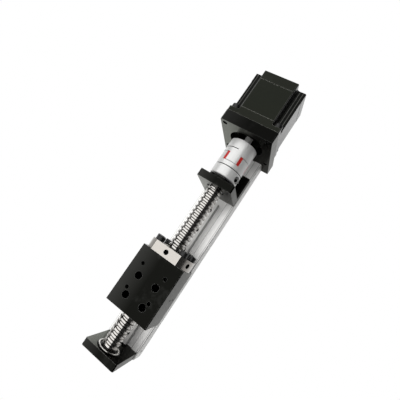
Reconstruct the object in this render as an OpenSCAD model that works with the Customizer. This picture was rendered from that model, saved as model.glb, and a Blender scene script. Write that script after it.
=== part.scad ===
// Open ball screw linear module: a carriage on a miniature rail, driven by a
// 5 mm lead screw, a jaw coupling and a square stepper motor.
// X runs along the screw towards the motor, Z is up. The origin is on the
// underside of the base, at the middle of its length and width.

/* [Travel] */
// Stroke of the carriage
stroke = 100; // [60:5:300]
// Travel already used up in the drawn position, from the far end
drawn_at = 35; // [5:5:55]
// Free gap left at the far end of the stroke
far_gap = 1.3; // [0.8:0.1:4]
// Free gap left at the motor end of the stroke
near_gap = 2.9; // [1:0.1:6]

/* [Base bar] */
// Width of the base bar
base_w = 40; // [40:1:54]
// Height of the base bar
base_h = 18; // [16:1:28]
// Chamfer along the base bar's edges
base_chamfer = 0.8; // [0.3:0.1:1.5]
// Width of the shallow channel that locates the rail and the plates
channel_w = 22.6; // [20:0.2:24]
// Depth of that channel
channel_d = 1.5; // [1:0.1:3]
// Spacing along X of the mounting holes under the base
mount_pitch_x = 200; // [120:5:210]
// Spacing along Y of the mounting holes under the base
mount_pitch_y = 24; // [20:1:26]
// Depth of the mounting holes
mount_depth = 10; // [6:1:12]
// Height of the small tapped hole in each side of the base
side_hole_z = 10; // [6:1:13]

/* [Guide rail and runner] */
// Width of the rail
rail_w = 12; // [11:0.5:13]
// Height of the rail
rail_h = 8; // [7.5:0.5:9]
// Distance between the rail's screws
rail_pitch = 25; // [20:1:30]
// Distance from the rail's end to its first screw
rail_end = 10; // [6:1:12]
// Gap between the end plate and the rail
rail_gap = 1.5; // [0.5:0.5:4]
// Width of the runner
runner_w = 27; // [26:0.5:30]
// Length of the runner over its end caps
runner_l = 45.4; // [43:0.2:50]
// Height of the runner's top above the foot of the rail
runner_top = 13; // [12.5:0.5:15]
// Gap under the runner
runner_under = 3; // [2.5:0.1:4]
// Length of each plastic end cap of the runner
runner_cap_l = 6.5; // [5:0.5:8]
// Square pitch of the runner's screws
runner_pitch = 20; // [18:0.5:22]
// Air between the rail and the runner
guide_gap = 0.3; // [0.3:0.05:0.5]

/* [Carriage] */
// Length of the carriage block
carriage_l = 59; // [56:1:72]
// Width of the carriage block
carriage_w = 47; // [45:1:60]
// Height of the carriage block
carriage_h = 36.5; // [35:0.5:44]
// Distance from the carriage's far face to the runner
runner_inset = 0.3; // [0:0.1:4]
// Diameter of the access holes above the runner's screws
access_d = 7.2; // [6:0.1:8]
// Height of the seats of the runner's screws above the carriage's underside
runner_seat = 3.5; // [2.5:0.25:4]
// Spacing along X of the tapped holes in the top
top_pitch_x = 25; // [22:1:28]
// Spacing along Y of the tapped holes in the top
top_pitch_y = 26; // [24:1:34]
// Distance from the carriage's far face to the middle of those holes
top_centre = 31.4; // [28:0.2:34]
// Depth of the tapped holes in the top
top_depth = 8; // [5:0.5:8]
// Chamfer at the mouth of those holes
top_chamfer = 0.3; // [0.2:0.05:0.4]
// Distance from the carriage's far face to the tapped side holes
side_tap_x = 28.4; // [22:0.2:34]
// Distance between the two side holes
side_tap_pitch = 10; // [8:1:12]

/* [Ball screw and nut] */
// Height of the screw's axis above the underside of the base
axis_z = 48.5; // [47:0.5:52]
// Outer diameter of the ball thread
screw_d = 16; // [15:0.5:16.5]
// Lead of the ball thread
lead = 5; // [4:1:6]
// Diameter of the balls
ball_d = 3.175; // [2.5:0.125:3.5]
// Depth of the ball groove
groove_d = 1.15; // [0.8:0.05:1.3]
// Diameter of the journals that run in the two bearings
journal_d = 12; // [11:0.5:13]
// Diameter of the end that the coupling grips
drive_d = 10; // [8:0.5:10.5]
// Length of that end inside the coupling
drive_l = 14; // [11:1:15]
// Length of the narrow shoulder beside each bearing
shoulder_l = 1; // [0.6:0.1:1.5]
// Diameter of the nut's body
nut_d = 28; // [27:0.5:30]
// Length of the nut over its flange
nut_l = 45; // [40:1:54]
// Rim of the nut's flange outside the circle of its screws
flange_rim = 5; // [4.5:0.5:6]
// Thickness of the nut's flange
flange_t = 10; // [8:0.5:12]
// Distance across the flange's two flats
flange_flats = 39; // [36:0.5:42]
// Circle of the flange's screws
flange_pcd = 38; // [37:0.5:39]
// Angle between neighbouring screws of the flange
flange_step = 45; // [35:1:50]
// Diameter of the oil holes in the flange
oil_d = 5; // [3:0.2:5.4]
// Angle of the second oil hole down from the top flat
oil_side_angle = 66; // [62:1:72]

/* [End plate] */
// Width of the end plate
end_w = 38; // [34:1:40]
// Thickness of the end plate
end_t = 7; // [6.5:0.5:10]
// Height of the end plate's top above the underside of the base
end_top = 62.5; // [61:0.5:70]
// How far the far bearing stands proud of the end plate
bearing_proud = 1.3; // [0.5:0.1:1.6]
// Bore through the end plate behind the bearing
end_bore = 18; // [14:0.5:19]

/* [Bearing support] */
// Width of the bearing support
support_w = 39; // [36:1:40]
// Thickness of the bearing support's upright
support_t = 8; // [7:0.5:12]
// Height of the support's top above the underside of the base
support_top = 66.4; // [64:0.2:72]
// Length of the support's foot behind the upright
foot_l = 26; // [24:1:30]
// Thickness of the support's foot
foot_t = 8; // [7:0.5:9]
// Diameter of the round boss around the bearing
boss_d = 30; // [28:1:34]
// Length of that boss
boss_l = 3; // [2.5:0.5:4]
// Lip that stops the bearing on the screw's side
lip_t = 1.5; // [1:0.25:2]
// Chamfer on the upright edges of all black plates
plate_chamfer = 1.2; // [0.5:0.1:2]

/* [Bearings] */
// Outer diameter of the two screw bearings
bearing_d = 24; // [23:0.5:25]
// Width of the two screw bearings
bearing_w = 6; // [5:0.5:6.5]
// Outer diameter of the two motor bearings
motor_bearing_d = 22; // [20:0.5:22]
// Width of the two motor bearings
motor_bearing_w = 7; // [6:0.5:7]
// Thickness of a bearing's shields
shield_t = 0.4; // [0.2:0.1:0.6]

/* [Jaw coupling] */
// Diameter of the coupling
coupling_d = 30; // [28:0.5:32]
// Length of each hub without its jaws
hub_l = 16; // [14:0.5:20]
// Distance between the two hubs
spider_l = 10; // [8:0.5:12]
// Air at the tips of the jaws
jaw_gap = 0.5; // [0.3:0.1:1]
// Width of one leg of the spider
leg_w = 3.2; // [2.5:0.1:4]
// Width of the saw cuts in the hubs
cut_w = 0.9; // [0.6:0.1:1.5]
// Distance from a hub's outer face to its cross cut
cut_x = 10.4; // [9.5:0.2:12]
// Turn of the whole coupling about the screw in the drawn position
coupling_turn = 3; // [-15:1:15]
// Gap between the support's boss and the coupling
coupling_gap = 1.5; // [1:0.1:4]
// Gap between the coupling and the motor bracket
bracket_gap = 3.5; // [1:0.5:6]

/* [Motor bracket] */
// How far the motor bracket stands out past the motor's sides and top
bracket_over = 0.3; // [0.3:0.1:3.5]
// Thickness of the motor bracket
bracket_t = 12; // [9:0.5:14]

/* [Stepper motor] */
// Square pitch of the motor's mounting screws
motor_pitch = 47.14; // [46.8:0.1:47.4]
// Distance of a mounting screw's axis from the motor's edge
motor_edge = 4.63; // [4.5:0.01:4.9]
// Length of the motor's body
motor_l = 55; // [54:1:90]
// Thickness of the motor's square flange
motor_flange_t = 5; // [4.5:0.5:6]
// Length of the front cap over its flange
front_cap_l = 9; // [9:0.5:10.5]
// Length of the rear cap
rear_cap_l = 10; // [10:0.5:12]
// Distance of a mounting screw's axis from the walls of the notch behind it
notch_room = 4.87; // [4.8:0.01:5.2]
// Fillet at the bottom of that notch
notch_r = 2.5; // [1.5:0.25:3.5]
// Diameter of the motor's pilot
pilot_d = 38.1; // [36:0.1:39]
// Height of the motor's pilot
pilot_h = 1.6; // [1.2:0.1:2.4]
// Diameter of the motor's shaft
shaft_d = 8; // [6:0.25:8.5]
// Length of the shaft in front of the motor's face
shaft_out = 27; // [24:1:29]
// Diameter of the rotor
rotor_d = 28.6; // [26:0.2:30]
// Length of the rotor
rotor_l = 28; // [22:1:30]

/* [Screws and fits] */
// Size of the rail and runner screws
m_small = 3; // [2.5:0.5:3.5]
// Size of the coupling's clamp screws
m_clamp = 4; // [3:0.5:4]
// Size of the screws that hold the end plate
m_end = 3; // [2.5:0.5:3]
// Size of the screws that hold the support, the bracket, the nut and the motor
m_main = 5; // [4.5:0.5:5]
// Thread length of the nut's screws in the carriage
nut_bite = 10; // [8:0.5:11]
// Thread length of the bracket's screws in the base
bracket_bite = 12; // [10:0.5:13]
// Thread length of the end plate's screws in the plate
end_bite = 8; // [6:0.5:8.5]
// Depth at which the support's screws end under the top of its foot
foot_cover = 2; // [1.5:0.5:3]
// Radial air around a screw in its tapped hole
thread_air = 0.05; // [0.02:0.01:0.1]
// Radial air around a screw in its clearance hole
hole_air = 0.25; // [0.2:0.05:0.4]
// Radial air around a screw's head
head_air = 0.35; // [0.25:0.05:0.5]
// Radial air of a seat that holds a bearing, a nut or a pilot
seat_air = 0.02; // [0.01:0.01:0.03]

/* [Hidden] */
$fn = 48;
eps = 0.01;

// Screw heads and tapping sizes follow from the nominal size.
function head_d(m) = 1.5 * m + 1;
function core_r(m) = 0.42 * m;

// Motor and bracket widths follow from the screw square.
motor_w = motor_pitch + 2 * motor_edge;
notch = motor_edge + notch_room;
bracket_w = motor_w + 2 * bracket_over;

// The nut's flange follows from the circle of its screws.
flange_d = flange_pcd + 2 * flange_rim;

// Stations along X. The first is the far end of the base.
coupling_l = 2 * hub_l + spider_l;
base_l = end_t + bearing_proud + far_gap + carriage_l + flange_t + m_main + stroke
    + near_gap + support_t + boss_l + coupling_gap + coupling_l + bracket_gap;
x_far = -base_l / 2;
x_end_in = x_far + end_t;
x_far_bearing = x_end_in + bearing_proud - bearing_w;
x_carriage = x_end_in + bearing_proud + far_gap + drawn_at;
x_flange = x_carriage + carriage_l;
x_flange_front = x_flange + flange_t;
x_nut_back = x_flange_front - nut_l;
x_bracket = base_l / 2;
x_coupling = x_bracket - bracket_gap - coupling_l;
x_boss = x_coupling - coupling_gap;
x_support_back = x_boss - boss_l;
x_support = x_support_back - support_t;
x_near_bearing = x_support + lip_t;
x_snap_ring = x_near_bearing + bearing_w;
x_motor = x_bracket + bracket_t;
x_stator = x_motor + front_cap_l;
x_rear_cap = x_motor + motor_l - rear_cap_l;
x_motor_end = x_motor + motor_l;

// Heights
z_channel = base_h - channel_d;
z_rail_top = z_channel + rail_h;
z_carriage = z_channel + runner_top;
z_carriage_top = z_carriage + carriage_h;
z_bracket_top = axis_z + motor_w / 2 + bracket_over;

// Guide
rail_count = floor((x_support - x_end_in - rail_gap - 2 * rail_end) / rail_pitch) + 1;
rail_l = (rail_count - 1) * rail_pitch + 2 * rail_end;
x_rail = x_end_in + rail_gap;
rail_hole_x = [for (i = [0 : rail_count - 1]) x_rail + rail_end + i * rail_pitch];
rail_cbore_d = m_small + 1.5;
x_runner = x_carriage + runner_inset;
x_runner_mid = x_runner + runner_l / 2;
runner_body_l = runner_l - 2 * runner_cap_l;

// Raceway groove in each side of the rail
race_z = 0.56 * rail_h;
race_r = 0.11 * rail_w;

// Thickness of the runner's steel seals
seal_t = 1;

// Fits of the plates in the channel
tongue_w = channel_w - 0.2;
tongue_h = channel_d - 0.1;

// Screws under the base: the end plate's and the support's
under_y = 12;
head_sink = 0.5;
end_screw_l = base_h - m_end - head_sink + end_bite;
foot_screw_x = [x_support_back + 6, x_support_back + foot_l - 6.5];
foot_screw_l = base_h - m_main - head_sink + foot_t - foot_cover;

// Screws from the bracket into the end of the base
bracket_screw_z = base_h / 2;
bracket_screw_depth = m_main + 0.6;
bracket_screw_l = bracket_t - bracket_screw_depth + bracket_bite;

// Ball thread
thread_sides = 16;
groove_w = 2 * sqrt(pow(ball_d / 2, 2) - pow(ball_d / 2 - groove_d, 2)) + 0.15;
x_thread = x_far_bearing + bearing_w + shoulder_l;
thread_l = x_near_bearing - shoulder_l - x_thread;
thread_run = floor(thread_l / lead) * lead;
x_helix = x_thread + (thread_l - thread_run) / 2;
shoulder_d = journal_d + 2.6;
collar_d = screw_d + 0.05;
lock_nut_d = 17.5;
lock_nut_l = 3.5;
nut_bore_d = screw_d + 0.8;
wiper_d = nut_d - 6;
wiper_bore_d = screw_d + 0.7;
wiper_l = 3;

// Bearings: the balls run on the middle of the two races
race_gap = 0.3;
function race_wall(od, bore) = 0.28 * (od - bore) / 2;
function ball_circle(od, bore) = (od + bore) / 4;
function bearing_ball(od, bore) = (od - bore) / 2 - 2 * race_wall(od, bore);

// Coupling details
jaw_in_r = 7;
jaw_relief = 0.5;
rim_c = 0.6;
slit_w = 1;
clamp_turn = 57;
clamp_r = 10.2;
clamp_head = 4.2;

// Snap ring in the bearing support
snap_t = 1.2;
snap_groove = 1.2;

// Flange screw angles, measured from straight up
flange_angles = [for (side = [-1, 1], k = [-1 : 1]) side * 90 + k * flange_step];

// Motor
through_at = motor_w / 2 - notch - 1.8;
stator_l = motor_l - front_cap_l - rear_cap_l;
stator_bore_d = rotor_d + 0.7;
pole_count = 8;
stator_wall = 7.7;
slot_out_r = motor_w / 2 - stator_wall;
slot_in_r = stator_bore_d / 2 + 1.6;
pole_w = 5;
x_front_bearing = x_motor + 1.8;
x_rear_bearing = x_rear_cap + 1;
x_rotor = x_stator + (stator_l - rotor_l) / 2;
socket_w = 15;
socket_x = 5.6;
socket_depth = 7;
socket_out = 2.5;

// ---- Helpers ----

// Cylinder along X that starts at x
module x_rod(x, l, d, y = 0, z = axis_z) {
    translate([x, y, z]) rotate([0, 90, 0]) cylinder(h = l, d = d);
}

// Ring along X
module x_ring(x, l, outer, inner, z = axis_z) {
    difference() {
        x_rod(x, l, outer, 0, z);
        x_rod(x - 1, l + 2, inner, 0, z);
    }
}

// Outline in the YZ plane, drawn out along X from x
module x_bar(x, l) {
    translate([x, 0, 0]) rotate([90, 0, 90]) linear_extrude(l) children();
}

// Socket head cap screw along Z: the head stands on z = 0, the shank hangs below
module cap_screw(m, l) {
    difference() {
        union() {
            cylinder(h = m, d = head_d(m));
            translate([0, 0, -l]) cylinder(h = l + eps, d = m);
        }
        translate([0, 0, m * 0.45]) cylinder(h = m, d = 0.92 * m, $fn = 6);
    }
}

// Upright plate outline with chamfered top corners, from z_low to z_high
module plate_outline(w, z_low, z_high, c) {
    polygon([
        [-w / 2, z_low], [w / 2, z_low], [w / 2, z_high - c], [w / 2 - c, z_high],
        [-w / 2 + c, z_high], [-w / 2, z_high - c]
    ]);
}

// Four children at the corners of a rectangle
module four(px, py) {
    for (sx = [-1, 1], sy = [-1, 1]) translate([sx * px / 2, sy * py / 2, 0]) children();
}

// ---- Base ----

module base_outline() {
    w = base_w / 2;
    c = base_chamfer;
    cw = channel_w / 2;
    polygon([
        [-w + c, 0], [w - c, 0], [w, c], [w, base_h - c], [w - c, base_h], [cw, base_h],
        [cw, z_channel], [-cw, z_channel], [-cw, base_h], [-w + c, base_h],
        [-w, base_h - c], [-w, c]
    ]);
}

// Counterbored hole that takes a screw from under the base
module under_hole(m, x, y) {
    translate([x, y, -1]) {
        cylinder(h = base_h + 2, d = m + 2 * hole_air);
        cylinder(h = m + head_sink + 1, d = head_d(m) + 2 * head_air);
    }
}

module base_bar() {
    color("gainsboro") difference() {
        x_bar(x_far, base_l) base_outline();
        for (x = rail_hole_x)
            translate([x, 0, z_channel - 7]) cylinder(h = 8, d = m_small + 2 * thread_air);
        for (y = [-under_y, under_y]) {
            under_hole(m_end, x_far + end_t / 2, y);
            for (x = foot_screw_x) under_hole(m_main, x, y);
            x_rod(x_bracket - bracket_bite - 1, bracket_bite + 2, m_main + 2 * thread_air, y,
                bracket_screw_z);
        }
        translate([0, 0, -1]) four(mount_pitch_x, mount_pitch_y)
            cylinder(h = mount_depth + 1, r = core_r(m_main));
        for (side = [-1, 1])
            translate([x_far + end_t + 1.2, side * (base_w / 2 + 1), side_hole_z])
                rotate([side * 90, 0, 0]) cylinder(h = 6, r = core_r(m_small + 1));
    }
}

// ---- Guide rail and runner ----

module rail_outline(grow = 0) {
    w = rail_w / 2 + grow;
    c = 0.5;
    difference() {
        polygon([
            [-w + c, -grow], [w - c, -grow], [w, c - grow], [w, rail_h - c + grow],
            [w - c, rail_h + grow], [-w + c, rail_h + grow], [-w, rail_h - c + grow],
            [-w, c - grow]
        ]);
        for (side = [-1, 1])
            translate([side * (rail_w / 2 + race_r * 0.35 + grow), race_z]) circle(r = race_r);
    }
}

module guide_rail() {
    color("silver") difference() {
        translate([0, 0, z_channel]) x_bar(x_rail, rail_l) rail_outline();
        for (x = rail_hole_x) translate([x, 0, z_channel]) {
            translate([0, 0, -1]) cylinder(h = rail_h + 2, d = m_small + 2 * hole_air);
            translate([0, 0, rail_h - rail_cbore_d])
                cylinder(h = rail_cbore_d + 1, d = head_d(m_small) + 2 * hole_air);
        }
    }
}

module rail_screws() {
    color("dimgray") for (x = rail_hole_x)
        translate([x, 0, z_channel + rail_h - rail_cbore_d])
            cap_screw(m_small, rail_h - rail_cbore_d + 5);
}

// Outer shape of the runner, with chamfered shoulders and a waist over its gap
module runner_outline(inset = 0) {
    w = runner_w / 2 - inset;
    low = runner_under + inset;
    high = runner_top - inset;
    c = 1.6;
    polygon([
        [-w + 0.8, low], [w - 0.8, low], [w, low + 0.8], [w, high - c - 2.4],
        [w - c, high], [-w + c, high], [-w, high - c - 2.4], [-w, low + 0.8]
    ]);
}

module runner_piece(x, l, inset = 0) {
    translate([0, 0, z_channel]) x_bar(x, l) difference() {
        runner_outline(inset);
        rail_outline(guide_gap);
        translate([-rail_w / 2 - guide_gap, -1])
            square([rail_w + 2 * guide_gap, runner_under + 2]);
    }
}

module runner_body() {
    color("lightgray") difference() {
        runner_piece(x_runner + runner_cap_l, runner_body_l);
        translate([x_runner_mid, 0, z_carriage - 3.5]) four(runner_pitch, runner_pitch)
            cylinder(h = 4, d = m_small + 2 * thread_air);
    }
}

module runner_end_caps() {
    color("darkslategray") {
        runner_piece(x_runner + seal_t, runner_cap_l - seal_t, 0.15);
        runner_piece(x_runner + runner_l - runner_cap_l, runner_cap_l - seal_t, 0.15);
    }
}

module runner_seals() {
    color("gray") for (x = [x_runner, x_runner + runner_l - seal_t]) difference() {
        runner_piece(x, seal_t, 0.5);
        for (y = [-runner_w / 2 + 4, runner_w / 2 - 4])
            x_rod(x - 1, seal_t + 2, 1.6, y, z_channel + runner_top - 4);
    }
}

module runner_screws() {
    color("dimgray") translate([x_runner_mid, 0, z_carriage + runner_seat])
        four(runner_pitch, runner_pitch) cap_screw(m_small, runner_seat + 3);
}

// ---- Carriage ----

module carriage_block() {
    c = 0.6;
    w = carriage_w / 2;
    x_mid = x_carriage + top_centre;
    z_side = z_carriage + 8;
    color("#2b2b2d") difference() {
        x_bar(x_carriage, carriage_l) polygon([
            [-w + c, z_carriage], [w - c, z_carriage], [w, z_carriage + c],
            [w, z_carriage_top - c], [w - c, z_carriage_top], [-w + c, z_carriage_top],
            [-w, z_carriage_top - c], [-w, z_carriage + c]
        ]);
        // Bore for the nut, then a smaller one that clears the screw
        x_rod(x_nut_back - 3, carriage_l, nut_d + 2 * seat_air);
        x_rod(x_carriage - 1, carriage_l, screw_d + 6);
        // Tapped holes of the nut's flange
        for (a = flange_angles) x_rod(x_flange - nut_bite - 2, nut_bite + 3,
            m_main + 2 * thread_air, flange_pcd / 2 * sin(a), axis_z + flange_pcd / 2 * cos(a));
        // Access holes with the seats of the runner's screws
        translate([x_runner_mid, 0, z_carriage]) four(runner_pitch, runner_pitch) {
            translate([0, 0, runner_seat]) cylinder(h = carriage_h, d = access_d);
            translate([0, 0, -1]) cylinder(h = carriage_h, d = m_small + 2 * hole_air);
        }
        // Tapped holes for the load
        translate([x_mid, 0, z_carriage_top]) four(top_pitch_x, top_pitch_y) {
            translate([0, 0, -top_depth]) cylinder(h = top_depth + 1, r = core_r(4));
            translate([0, 0, -top_chamfer]) cylinder(
                h = top_chamfer + eps, r1 = core_r(4), r2 = core_r(4) + top_chamfer);
        }
        // Tapped holes in the sides, for a sensor flag
        for (side = [-1, 1], k = [0, 1])
            translate([x_carriage + side_tap_x, side * (w + 1), z_side + k * side_tap_pitch])
                rotate([side * 90, 0, 0]) cylinder(h = 7, r = core_r(3));
    }
}

// ---- Nut ----

// Place children on the flange's screw circle, at the front of the flange
module at_flange_screws() {
    for (a = flange_angles)
        translate([x_flange_front, flange_pcd / 2 * sin(a), axis_z + flange_pcd / 2 * cos(a)])
            rotate([0, 90, 0]) children();
}

module ball_nut() {
    color("silver") difference() {
        union() {
            x_rod(x_nut_back + 0.6, nut_l - flange_t, nut_d);
            translate([x_nut_back, 0, axis_z]) rotate([0, 90, 0])
                cylinder(h = 0.61, d1 = nut_d - 1.2, d2 = nut_d);
            intersection() {
                x_rod(x_flange, flange_t, flange_d);
                translate([x_flange, -flange_d / 2, axis_z - flange_flats / 2])
                    cube([flange_t, flange_d, flange_flats]);
            }
        }
        x_rod(x_nut_back - 1, nut_l + 2, nut_bore_d);
        for (x = [x_nut_back - 1, x_flange_front - wiper_l])
            x_rod(x, wiper_l + 1, wiper_d);
        at_flange_screws() translate([0, 0, -flange_t - 1])
            cylinder(h = flange_t + 2, d = m_main + 2 * hole_air);
        for (a = [0, -oil_side_angle])
            translate([x_flange + flange_t / 2, 0, axis_z]) rotate([-a, 0, 0])
                translate([0, 0, nut_d / 2]) cylinder(h = flange_d, d = oil_d);
    }
}

module nut_wipers() {
    color("whitesmoke") for (x = [x_nut_back, x_flange_front - wiper_l])
        x_ring(x, wiper_l, wiper_d, wiper_bore_d);
}

module nut_screws() {
    color("#202020") at_flange_screws() cap_screw(m_main, flange_t + nut_bite);
}

// ---- Ball screw ----

// One turn of the thread's outline as [distance along the axis, radius]. The
// groove is an arc of the ball's radius between two flat lands.
groove_steps = [0, 0.25, 0.5, 0.75, 1];
function groove_depth(t) = groove_d * (1 - pow(2 * t - 1, 2));
thread_outline = [
    for (t = groove_steps) [lead - groove_w + groove_w * t, screw_d / 2 - groove_depth(t)]
];
ring_points = len(thread_outline);

// Closed left-hand helical surface over a length: point k of side i lies on the
// outline, moved along X by its share of the lead
module ball_thread(l) {
    turns = floor(l / lead) - 1;
    sides = turns * thread_sides;
    points = concat(
        [for (i = [0 : sides + thread_sides], k = [0 : ring_points - 1])
            let (a = 360 * i / thread_sides, p = thread_outline[k])
            if (i <= sides || k == 0)
            [lead * i / thread_sides + p[0] - thread_outline[0][0], p[1] * sin(a), p[1] * cos(a)]],
        [[lead / 2, 0, 0], [lead * (turns + 0.5), 0, 0]]
    );
    count = len(points);
    // Index of a point: the last turn has only the first point of each side
    function at(i, k) = k == ring_points ? at(i + thread_sides, 0)
        : i <= sides ? i * ring_points + k
        : (sides + 1) * ring_points + (i - sides - 1);
    skin = [for (i = [0 : sides - 1], k = [0 : ring_points - 1], t = [0, 1])
        t == 0 ? [at(i, k), at(i + 1, k + 1), at(i, k + 1)]
            : [at(i, k), at(i + 1, k), at(i + 1, k + 1)]];
    start = concat(
        [for (i = [0 : thread_sides - 1]) [at(i + 1, 0), at(i, 0), count - 2]],
        [for (k = [0 : ring_points - 1]) [at(0, k), at(0, k + 1), count - 2]]
    );
    finish = concat(
        [for (i = [sides : sides + thread_sides - 1]) [at(i, 0), at(i + 1, 0), count - 1]],
        [for (k = [0 : ring_points - 1]) [at(sides, k + 1), at(sides, k), count - 1]]
    );
    polyhedron(points, concat(skin, start, finish), convexity = 10);
}

// The helix ends in a plain collar at both ends of the thread
module ball_screw() {
    collar_l = x_helix - x_thread + lead;
    x_shoulder = x_thread + thread_l;
    color("gainsboro") {
        translate([x_helix, 0, axis_z]) ball_thread(thread_run);
        for (x = [x_thread, x_shoulder - collar_l]) x_rod(x, collar_l, collar_d);
        for (x = [x_thread - shoulder_l, x_shoulder - eps])
            x_rod(x, shoulder_l + eps, shoulder_d);
        x_rod(x_far_bearing - 0.8, bearing_w + 1, journal_d);
        x_rod(x_near_bearing - 0.2, x_coupling - x_near_bearing + 0.2, journal_d);
        x_rod(x_coupling - 0.1, drive_l + 0.1, drive_d);
    }
}

// Round nut that clamps the inner race with a narrow lip
module lock_nut() {
    color("dimgray") difference() {
        union() {
            x_rod(x_snap_ring, shoulder_l, shoulder_d);
            x_rod(x_snap_ring + shoulder_l, lock_nut_l - shoulder_l, lock_nut_d);
        }
        x_rod(x_snap_ring - 1, lock_nut_l + 2, journal_d + 2 * thread_air);
        // Four grooves for the hook spanner
        for (a = [0 : 90 : 270]) translate([x_snap_ring + 1.5, 0, axis_z]) rotate([a, 0, 0])
            translate([0, -1, lock_nut_d / 2 - 1]) cube([lock_nut_l, 2, 2]);
    }
}

// ---- Bearings: outer race with shields, inner race, balls in their cage ----

module bearing_outer(x, w, od, bore) {
    wall = race_wall(od, bore);
    ball = bearing_ball(od, bore);
    shield_bore = bore + 2 * wall + 2 * race_gap;
    color("lightsteelblue") difference() {
        x_rod(x, w, od);
        x_rod(x - 1, w + 2, shield_bore);
        x_rod(x + shield_t, w - 2 * shield_t, od - 2 * wall);
        ball_groove(x + w / 2, ball_circle(od, bore), ball);
    }
}

module bearing_inner(x, w, od, bore) {
    wall = race_wall(od, bore);
    color("silver") difference() {
        x_rod(x, w, bore + 2 * wall);
        x_rod(x - 1, w + 2, bore + 2 * seat_air);
        ball_groove(x + w / 2, ball_circle(od, bore), bearing_ball(od, bore));
    }
}

// Round groove that leaves a little air for the balls
module ball_groove(x, circle_r, ball) {
    translate([x, 0, axis_z]) rotate([0, 90, 0]) rotate_extrude()
        translate([circle_r, 0]) circle(d = ball * 1.04);
}

module bearing_balls(x, w, od, bore) {
    circle_r = ball_circle(od, bore);
    ball = bearing_ball(od, bore) * 0.98;
    count = floor(180 / asin(0.68 * ball / circle_r));
    cage_t = ball * 0.24;
    translate([x + w / 2, 0, axis_z]) rotate([0, 90, 0]) {
        color("silver") for (i = [0 : count - 1])
            rotate(i * 360 / count) translate([circle_r, 0, 0]) sphere(d = ball);
        color("goldenrod") difference() {
            cylinder(h = ball * 0.5, r = circle_r + cage_t, center = true);
            cylinder(h = ball, r = circle_r - cage_t, center = true);
            for (i = [0 : count - 1])
                rotate(i * 360 / count) translate([circle_r, 0, 0]) sphere(d = ball * 0.96);
        }
    }
}

module far_bearing_outer() {
    bearing_outer(x_far_bearing, bearing_w, bearing_d, journal_d);
}
module far_bearing_inner() {
    bearing_inner(x_far_bearing, bearing_w, bearing_d, journal_d);
}
module far_bearing_balls() {
    bearing_balls(x_far_bearing, bearing_w, bearing_d, journal_d);
}
module near_bearing_outer() {
    bearing_outer(x_near_bearing, bearing_w, bearing_d, journal_d);
}
module near_bearing_inner() {
    bearing_inner(x_near_bearing, bearing_w, bearing_d, journal_d);
}
module near_bearing_balls() {
    bearing_balls(x_near_bearing, bearing_w, bearing_d, journal_d);
}

// ---- Plates that carry the screw ----

// Tongue that sits in the base's channel
module tongue(x, l) {
    translate([x, -tongue_w / 2, base_h - tongue_h]) cube([l, tongue_w, tongue_h + eps]);
}

module end_plate() {
    color("#2b2b2d") difference() {
        union() {
            x_bar(x_far, end_t) plate_outline(end_w, base_h, end_top, plate_chamfer);
            tongue(x_far, end_t);
        }
        x_rod(x_far_bearing, bearing_w + 1, bearing_d + 2 * seat_air);
        x_rod(x_far - 1, end_t, end_bore);
        for (y = [-under_y, under_y]) translate([x_far + end_t / 2, y, base_h - channel_d])
            cylinder(h = channel_d + end_bite + 1, d = m_end + 2 * thread_air);
    }
}

module end_plate_screws() {
    color("dimgray") for (y = [-under_y, under_y])
        translate([x_far + end_t / 2, y, m_end + head_sink]) rotate([180, 0, 0])
            cap_screw(m_end, end_screw_l);
}

// Upright with a round boss, in one piece with the foot behind it
module bearing_support() {
    color("#2b2b2d") difference() {
        union() {
            x_bar(x_support, support_t)
                plate_outline(support_w, base_h, support_top, plate_chamfer);
            x_bar(x_support, support_t + foot_l)
                plate_outline(support_w, base_h, base_h + foot_t, plate_chamfer);
            tongue(x_support, support_t + foot_l);
            x_rod(x_support, support_t + boss_l, boss_d);
        }
        x_rod(x_near_bearing, support_t + boss_l, bearing_d + 2 * seat_air);
        x_rod(x_support - 1, support_t, bearing_d - 4);
        x_ring(x_snap_ring, snap_t + 0.1, bearing_d + snap_groove, bearing_d);
        for (x = foot_screw_x, y = [-under_y, under_y]) translate([x, y, base_h - channel_d - 1])
            cylinder(h = channel_d + foot_t, d = m_main + 2 * thread_air);
    }
}

module support_screws() {
    color("dimgray") for (x = foot_screw_x, y = [-under_y, under_y])
        translate([x, y, m_main + head_sink]) rotate([180, 0, 0])
            cap_screw(m_main, foot_screw_l);
}

// Internal retaining ring with its opening at the top and two plier holes
module snap_ring() {
    outer = bearing_d + snap_groove - 0.2;
    color("dimgray") difference() {
        union() {
            x_ring(x_snap_ring + 0.05, snap_t, outer, bearing_d - 2.4);
            for (side = [-1, 1]) x_rod(x_snap_ring + 0.05, snap_t, 2.8,
                side * 3, axis_z + bearing_d / 2 - 1.2);
        }
        translate([x_snap_ring - 1, -1.6, axis_z]) cube([4, 3.2, bearing_d]);
        for (side = [-1, 1])
            x_rod(x_snap_ring - 1, 4, 1.2, side * 3, axis_z + bearing_d / 2 - 1.2);
    }
}

// ---- Jaw coupling ----

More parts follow.
